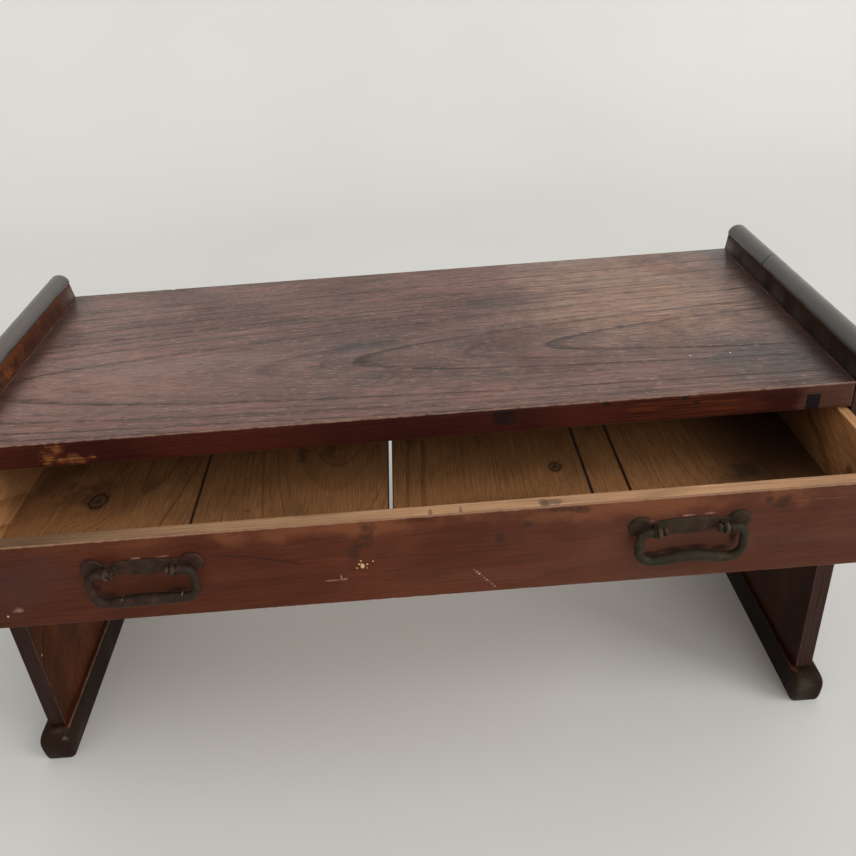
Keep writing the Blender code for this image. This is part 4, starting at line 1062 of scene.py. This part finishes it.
def handle_iron():
    finish = Finish("handle_iron", gloss=0.10)
    cloud = finish.noise(140.0, detail=5.0, twist=0.4)
    broad = finish.noise(40.0, shift=2.0)
    green = broad * 0.7 + finish.x.between(-0.2, 0.2) * 0.3
    finish.colour = finish.tint(green.between(0.34, 0.66), (0.026, 0.014, 0.009), (0.024, 0.019, 0.010))
    finish.dim(0.35 + cloud * 1.2)
    rust = cloud.between(0.54, 0.66) * broad.between(0.58, 0.42)
    finish.lay(rust * 0.45, (0.066, 0.028, 0.016))
    plate = finish.y.between(DRAWER_FACE - 0.0030, DRAWER_FACE - 0.0022) * finish.rag.between(0.38, 0.60)
    finish.lay(plate * 0.50, (0.050, 0.021, 0.013))
    for side in SIDES.values():
        for eye in (-1, 1):
            place = (side * HANDLE_SPACING / 2 + eye * EYE_SPACING / 2, DRAWER_FACE - EYE_REACH, HANDLE_LEVEL)
            rubbed = finish.spot(place, (0.0075, 0.010, 0.0060), ragged=0.5) * cloud.between(0.36, 0.60)
            finish.lay(rubbed * 0.55, (0.110, 0.062, 0.045))
    # Painted highlights: three pale specks where the light catches the plate and the top of the left bail's
    # grip.
    for x, z in ((-0.2012, 0.2975), (-0.2185, 0.2822), (-0.1745, 0.2826)):
        speck = finish.spot((x, DRAWER_FACE - 0.0065, z), (0.0007, 0.0065, 0.0009), ragged=0.4)
        finish.lay(speck * 0.7, (0.330, 0.290, 0.240))
    return finish.done(0.42 + cloud * 0.30, cloud + finish.rag, 0.0006)


def plate_edge(x, upper):
    """Height of a plate's upper or lower edge at a distance from its middle."""
    away = abs(x)
    neck = PLATE_NECK_SPACING / 2
    lobe = PLATE_LOBE_SPACING / 2
    if away <= neck:
        wave = 0.5 + 0.5 * math.cos(math.pi * away / neck)
        half = PLATE_NECK_HALF + (PLATE_MIDDLE_HALF - PLATE_NECK_HALF) * math.sqrt(wave)
        middle = -PLATE_MIDDLE_DROP * wave
    else:
        half = math.sqrt(max(PLATE_LOBE_RADIUS ** 2 - (away - lobe) ** 2, 0.0))
        half = max(half, PLATE_NECK_HALF) if away < lobe else half
        middle = 0.0
    return middle + half if upper else middle - half


def model_plate(name, material):
    node = f"handle_plate_{name}"
    low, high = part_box(node)
    reach = (high.x - low.x) / 2
    middle = (low.x + high.x) / 2
    bpy.ops.mesh.primitive_circle_add(vertices=PLATE_STEPS, radius=1.0, fill_type="NGON",
                                      location=(0.0, 0.0, 0.0), rotation=(math.pi / 2, 0.0, 0.0))
    piece = named(f"{node}_beaten")
    for vertex in piece.data.vertices:
        x = reach * vertex.co.x
        vertex.co = (middle + x, high.y, HANDLE_LEVEL + plate_edge(x, vertex.co.z > 0.0))
    bpy.ops.object.mode_set(mode="EDIT")
    bpy.ops.mesh.select_all(action="SELECT")
    edge = PLATE_EDGE_SHARE * (high.y - low.y)
    bpy.ops.mesh.extrude_region_move(TRANSFORM_OT_translate={"value": (0.0, -edge, 0.0)})
    bpy.ops.mesh.inset(thickness=PLATE_RIM, depth=0.0)
    bpy.ops.transform.translate(value=(0.0, edge - (high.y - low.y), 0.0))
    bpy.ops.object.mode_set(mode="OBJECT")
    shank_holes(piece, middle, low, high)
    settle(piece, material, "drawer", "handle_iron", node)


dark_iron = handle_iron()
for side_name in SIDES:
    model_plate(side_name, dark_iron)

# Handle eyes. Each is a strip of iron bent to a ring round the bail, its ends driven through plate and
# drawer front and clinched flat inside.
EYE_RADIUS = 0.0050
EYE_BORE = 0.0026
EYE_WIDTH = 0.0036
SHANK_SIZE = 0.0044
PRONG_LENGTH = 0.012
PRONG_SHARE = 0.86
PRONG_ROUND = 0.0006


def model_eye(node, material):
    low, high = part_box(node)
    x = (low.x + high.x) / 2
    ring = (x, DRAWER_FACE - EYE_REACH, HANDLE_LEVEL)
    bpy.ops.mesh.primitive_torus_add(location=ring, rotation=(0.0, math.pi / 2, 0.0), major_segments=40,
                                     minor_segments=14, major_radius=(EYE_RADIUS + EYE_BORE) / 2,
                                     minor_radius=(EYE_RADIUS - EYE_BORE) / 2)
    bpy.context.object.scale = (1.0, 1.0, EYE_WIDTH / (EYE_RADIUS - EYE_BORE))
    piece = named(f"{node}_forged")
    half = SHANK_SIZE / 2
    inside = front_high.y + JOINT_PLAY
    neck = DRAWER_FACE - EYE_REACH + (EYE_RADIUS + EYE_BORE) / 2
    shank = block("shank", (x - half, neck, HANDLE_LEVEL - half), (x + half, high.y, HANDLE_LEVEL + half))
    combine(piece, shank, "UNION")
    prongs = block("prongs", (x - PRONG_SHARE * half, inside, HANDLE_LEVEL - PRONG_LENGTH),
                   (x + PRONG_SHARE * half, high.y - 0.0001, HANDLE_LEVEL + PRONG_LENGTH))
    alone(prongs)
    bpy.ops.object.mode_set(mode="EDIT")
    pick_edges(prongs, lambda e: abs(e.verts[0].co.x - e.verts[1].co.x) > half)
    bpy.ops.mesh.bevel(affect="EDGES", offset=PRONG_ROUND, segments=2)
    bpy.ops.object.mode_set(mode="OBJECT")
    combine(piece, prongs, "UNION")
    settle(piece, material, "drawer", "handle_iron", node)


for side_name in SIDES:
    for eye_number in (1, 2):
        model_eye(f"handle_eye_{side_name}_{eye_number}", dark_iron)

# Handle bails. Round bar forged thicker at the grip, bent to a flat U, with a ringed collar outside
# each eye and a ball inside it. The right one has been pulled out of line by use.
BAIL_WIDTH = 0.0770
BAIL_DROP = 0.0267
BAIL_NECK_RADIUS = 0.0022
BAIL_NECK_PLAY = 0.0004
BAIL_BALL_RADIUS = 0.0034
BAIL_BALL_LENGTH = 0.0046
BAIL_COLLAR_RADIUS = 0.0041
BAIL_COLLAR_WIDTH = 0.0028
BAIL_ARM_RADIUS = 0.0033
BAIL_GRIP_RADIUS = 0.0046
BAIL_UPPER_BEND = 0.0080
BAIL_LOWER_BEND = 0.0105
BAIL_BOW = {"left": 0.0010, "right": 0.0034}
BAIL_SKEW = {"left": 0.0006, "right": -0.0004}
BAIL_BEATEN = 0.00028
BAIL_BEATEN_BELOW = -0.004
BALL_STEPS = 10
COLLAR_STEPS = 16
BEND_STEPS = 12
GRIP_STEPS = 14


def bail_half(bow):
    """Right half of a bail as (x, z, radius), from its ball, through the eye, to the middle of the grip."""
    eye = EYE_SPACING / 2
    ball_end = eye - EYE_WIDTH / 2 - BAIL_NECK_PLAY
    collar = eye + EYE_WIDTH / 2 + BAIL_NECK_PLAY
    path = []
    for step in range(1, BALL_STEPS - 1):
        turn = math.pi * step / BALL_STEPS
        x = ball_end - BAIL_BALL_LENGTH / 2 * (1 + math.cos(turn))
        path.append((x, 0.0, BAIL_BALL_RADIUS * math.sin(turn)))
    path += [(ball_end, 0.0, BAIL_NECK_RADIUS), (collar, 0.0, BAIL_NECK_RADIUS)]
    for step in range(COLLAR_STEPS + 1):
        share = step / COLLAR_STEPS
        ring = abs(math.sin(2 * math.pi * share)) ** 0.6
        path.append((collar + share * BAIL_COLLAR_WIDTH, 0.0,
                     BAIL_ARM_RADIUS + (BAIL_COLLAR_RADIUS - BAIL_ARM_RADIUS) * ring))
    outer = BAIL_WIDTH / 2
    upper = (outer - BAIL_UPPER_BEND, -BAIL_UPPER_BEND)
    lower = (outer - BAIL_LOWER_BEND, BAIL_LOWER_BEND - BAIL_DROP)
    for step in range(1, BEND_STEPS + 1):
        turn = math.pi / 2 * (1 - step / BEND_STEPS)
        path.append((upper[0] + BAIL_UPPER_BEND * math.cos(turn), upper[1] + BAIL_UPPER_BEND * math.sin(turn),
                     BAIL_ARM_RADIUS))
    for step in range(1, BEND_STEPS + 1):
        turn = -math.pi / 2 * step / BEND_STEPS
        x = lower[0] + BAIL_LOWER_BEND * math.cos(turn)
        path.append((x, lower[1] + BAIL_LOWER_BEND * math.sin(turn), grip_radius(x)))
    for step in range(1, GRIP_STEPS + 1):
        x = lower[0] * (1 - step / GRIP_STEPS)
        path.append((x, -BAIL_DROP + bow * (0.5 + 0.5 * math.cos(math.pi * x / lower[0])), grip_radius(x)))
    return path


def grip_radius(x):
    """The bar swells from its arms to the middle of its grip."""
    across = min(abs(x) / (BAIL_WIDTH / 2), 1.0)
    return BAIL_ARM_RADIUS + (BAIL_GRIP_RADIUS - BAIL_ARM_RADIUS) * (1 - across ** 2)


def model_bail(name, side, material):
    node = f"handle_bail_{name}"
    half = bail_half(BAIL_BOW[name])
    path = half + [(-x, z, radius) for x, z, radius in reversed(half[:-1])]
    bar = bpy.data.curves.new(node, "CURVE")
    bar.dimensions = "3D"
    bar.bevel_depth = 1.0
    bar.bevel_resolution = 8
    bar.use_fill_caps = True
    spline = bar.splines.new("POLY")
    spline.points.add(len(path) - 1)
    for point, (x, z, radius) in zip(spline.points, path):
        tilt = BAIL_SKEW[name] * x / (BAIL_WIDTH / 2) if z < -BAIL_UPPER_BEND else 0.0
        point.co = (side * HANDLE_SPACING / 2 + x, DRAWER_FACE - EYE_REACH, HANDLE_LEVEL + z + tilt, 1.0)
        point.radius = radius
    piece = bpy.data.objects.new(f"{node}_forged", bar)
    bpy.context.scene.collection.objects.link(piece)
    alone(piece)
    bpy.ops.object.convert(target="MESH")
    for vertex in piece.data.vertices:
        if vertex.co.z < HANDLE_LEVEL + BAIL_BEATEN_BELOW:
            beaten = noise.noise(vertex.co * 160.0) + 0.5 * noise.noise(vertex.co * 420.0)
            vertex.co -= vertex.normal * max(beaten, 0.0) * BAIL_BEATEN
    settle(piece, material, f"handle_{name}", "handle_iron", node)


for side_name, side_sign in SIDES.items():
    model_bail(side_name, side_sign, dark_iron)

# Floor and backdrop. One pale sheet, bent up in a wide curve behind the table so that no corner shows.
# It belongs to the photograph and isn't a piece of the table.
SWEEP_WIDTH = 26.0
SWEEP_FRONT = -14.0
SWEEP_BACK = 2.6
SWEEP_HEIGHT = 4.0
SWEEP_BEND = 1.1


def pale_floor_finish():
    finish = Finish("pale_floor")
    cloud = finish.noise(1.5, detail=2.0)
    finish.colour = finish.ramp(cloud, (0.3, (0.640, 0.628, 0.595)), (0.7, (0.670, 0.658, 0.625)))
    # Painted light: the sheet is made lighter towards the left.
    finish.dim(1.0 + finish.x.between(0.8, -2.6) * 0.15)
    return finish.done(0.65 + cloud * 0.1)


bpy.ops.mesh.primitive_plane_add(size=1.0, location=(0.0, (SWEEP_FRONT + SWEEP_BACK) / 2, 0.0))
bpy.context.object.scale = (SWEEP_WIDTH, SWEEP_BACK - SWEEP_FRONT, 1.0)
sweep = named("floor_sweep")
bpy.ops.object.mode_set(mode="EDIT")
pick_edges(sweep, lambda e: all(v.co.y > SWEEP_BACK - 0.001 for v in e.verts))
bpy.ops.mesh.extrude_region_move(TRANSFORM_OT_translate={"value": (0.0, 0.0, SWEEP_HEIGHT)})
pick_edges(sweep, lambda e: all(v.co.y > SWEEP_BACK - 0.001 and v.co.z < 0.001 for v in e.verts))
bpy.ops.mesh.bevel(affect="EDGES", offset=SWEEP_BEND, segments=16)
bpy.ops.object.mode_set(mode="OBJECT")
bpy.ops.object.shade_smooth()
sweep.data.materials.append(pale_floor_finish())

# Soft daylight. An even room all round, a wide window high up to the right of the table, and an open
# door in front of it.
world = bpy.data.worlds.new("even_room")
bpy.context.scene.world = world
world.use_nodes = True
world.node_tree.nodes["Background"].inputs["Color"].default_value = (1.0, 1.0, 1.0, 1.0)
world.node_tree.nodes["Background"].inputs["Strength"].default_value = 0.64


def soft_lamp(name, place, target, size, power):
    lamp = bpy.data.lights.new(name, "AREA")
    lamp.shape = "SQUARE"
    lamp.size = size
    lamp.energy = power
    holder = bpy.data.objects.new(name, lamp)
    bpy.context.scene.collection.objects.link(holder)
    holder.location = place
    holder.rotation_euler = (Vector(target) - Vector(place)).to_track_quat("-Z", "Y").to_euler()


soft_lamp("window", (8.5, -3.4, 5.9), (0.0, 0.0, 0.3), 5.8, 580.0)
soft_lamp("open_door", (3.3, -6.9, 3.0), (0.0, 0.0, 0.2), 4.6, 200.0)

# Camera. It stands where the photograph was taken from, half a metre in front of the drawer, looking
# down and held slightly askew.
EYE = Vector((0.0105, -0.7182, 0.7075))
EYE_YAW = math.radians(0.46)
EYE_PITCH = math.radians(31.01)
EYE_ROLL = math.radians(-4.09)
SENSOR = 36.0
FRAME_SIZE = 856
FOCAL_PIXELS = 875.5

camera_data = bpy.data.cameras.new("eye")
camera_data.sensor_width = SENSOR
camera_data.lens = SENSOR * FOCAL_PIXELS / FRAME_SIZE
camera_data.clip_start = 0.01
camera = bpy.data.objects.new("eye", camera_data)
bpy.context.scene.collection.objects.link(camera)
forward = Vector((math.sin(EYE_YAW) * math.cos(EYE_PITCH), math.cos(EYE_YAW) * math.cos(EYE_PITCH),
                  -math.sin(EYE_PITCH)))
level_right = Vector((math.cos(EYE_YAW), -math.sin(EYE_YAW), 0.0))
level_up = level_right.cross(forward)
right = level_right * math.cos(EYE_ROLL) + level_up * math.sin(EYE_ROLL)
up = level_up * math.cos(EYE_ROLL) - level_right * math.sin(EYE_ROLL)
camera.matrix_world = Matrix.Translation(EYE) @ Matrix((right, up, -forward)).transposed().to_4x4()
bpy.context.scene.camera = camera
bpy.context.scene.view_settings.view_transform = "Standard"
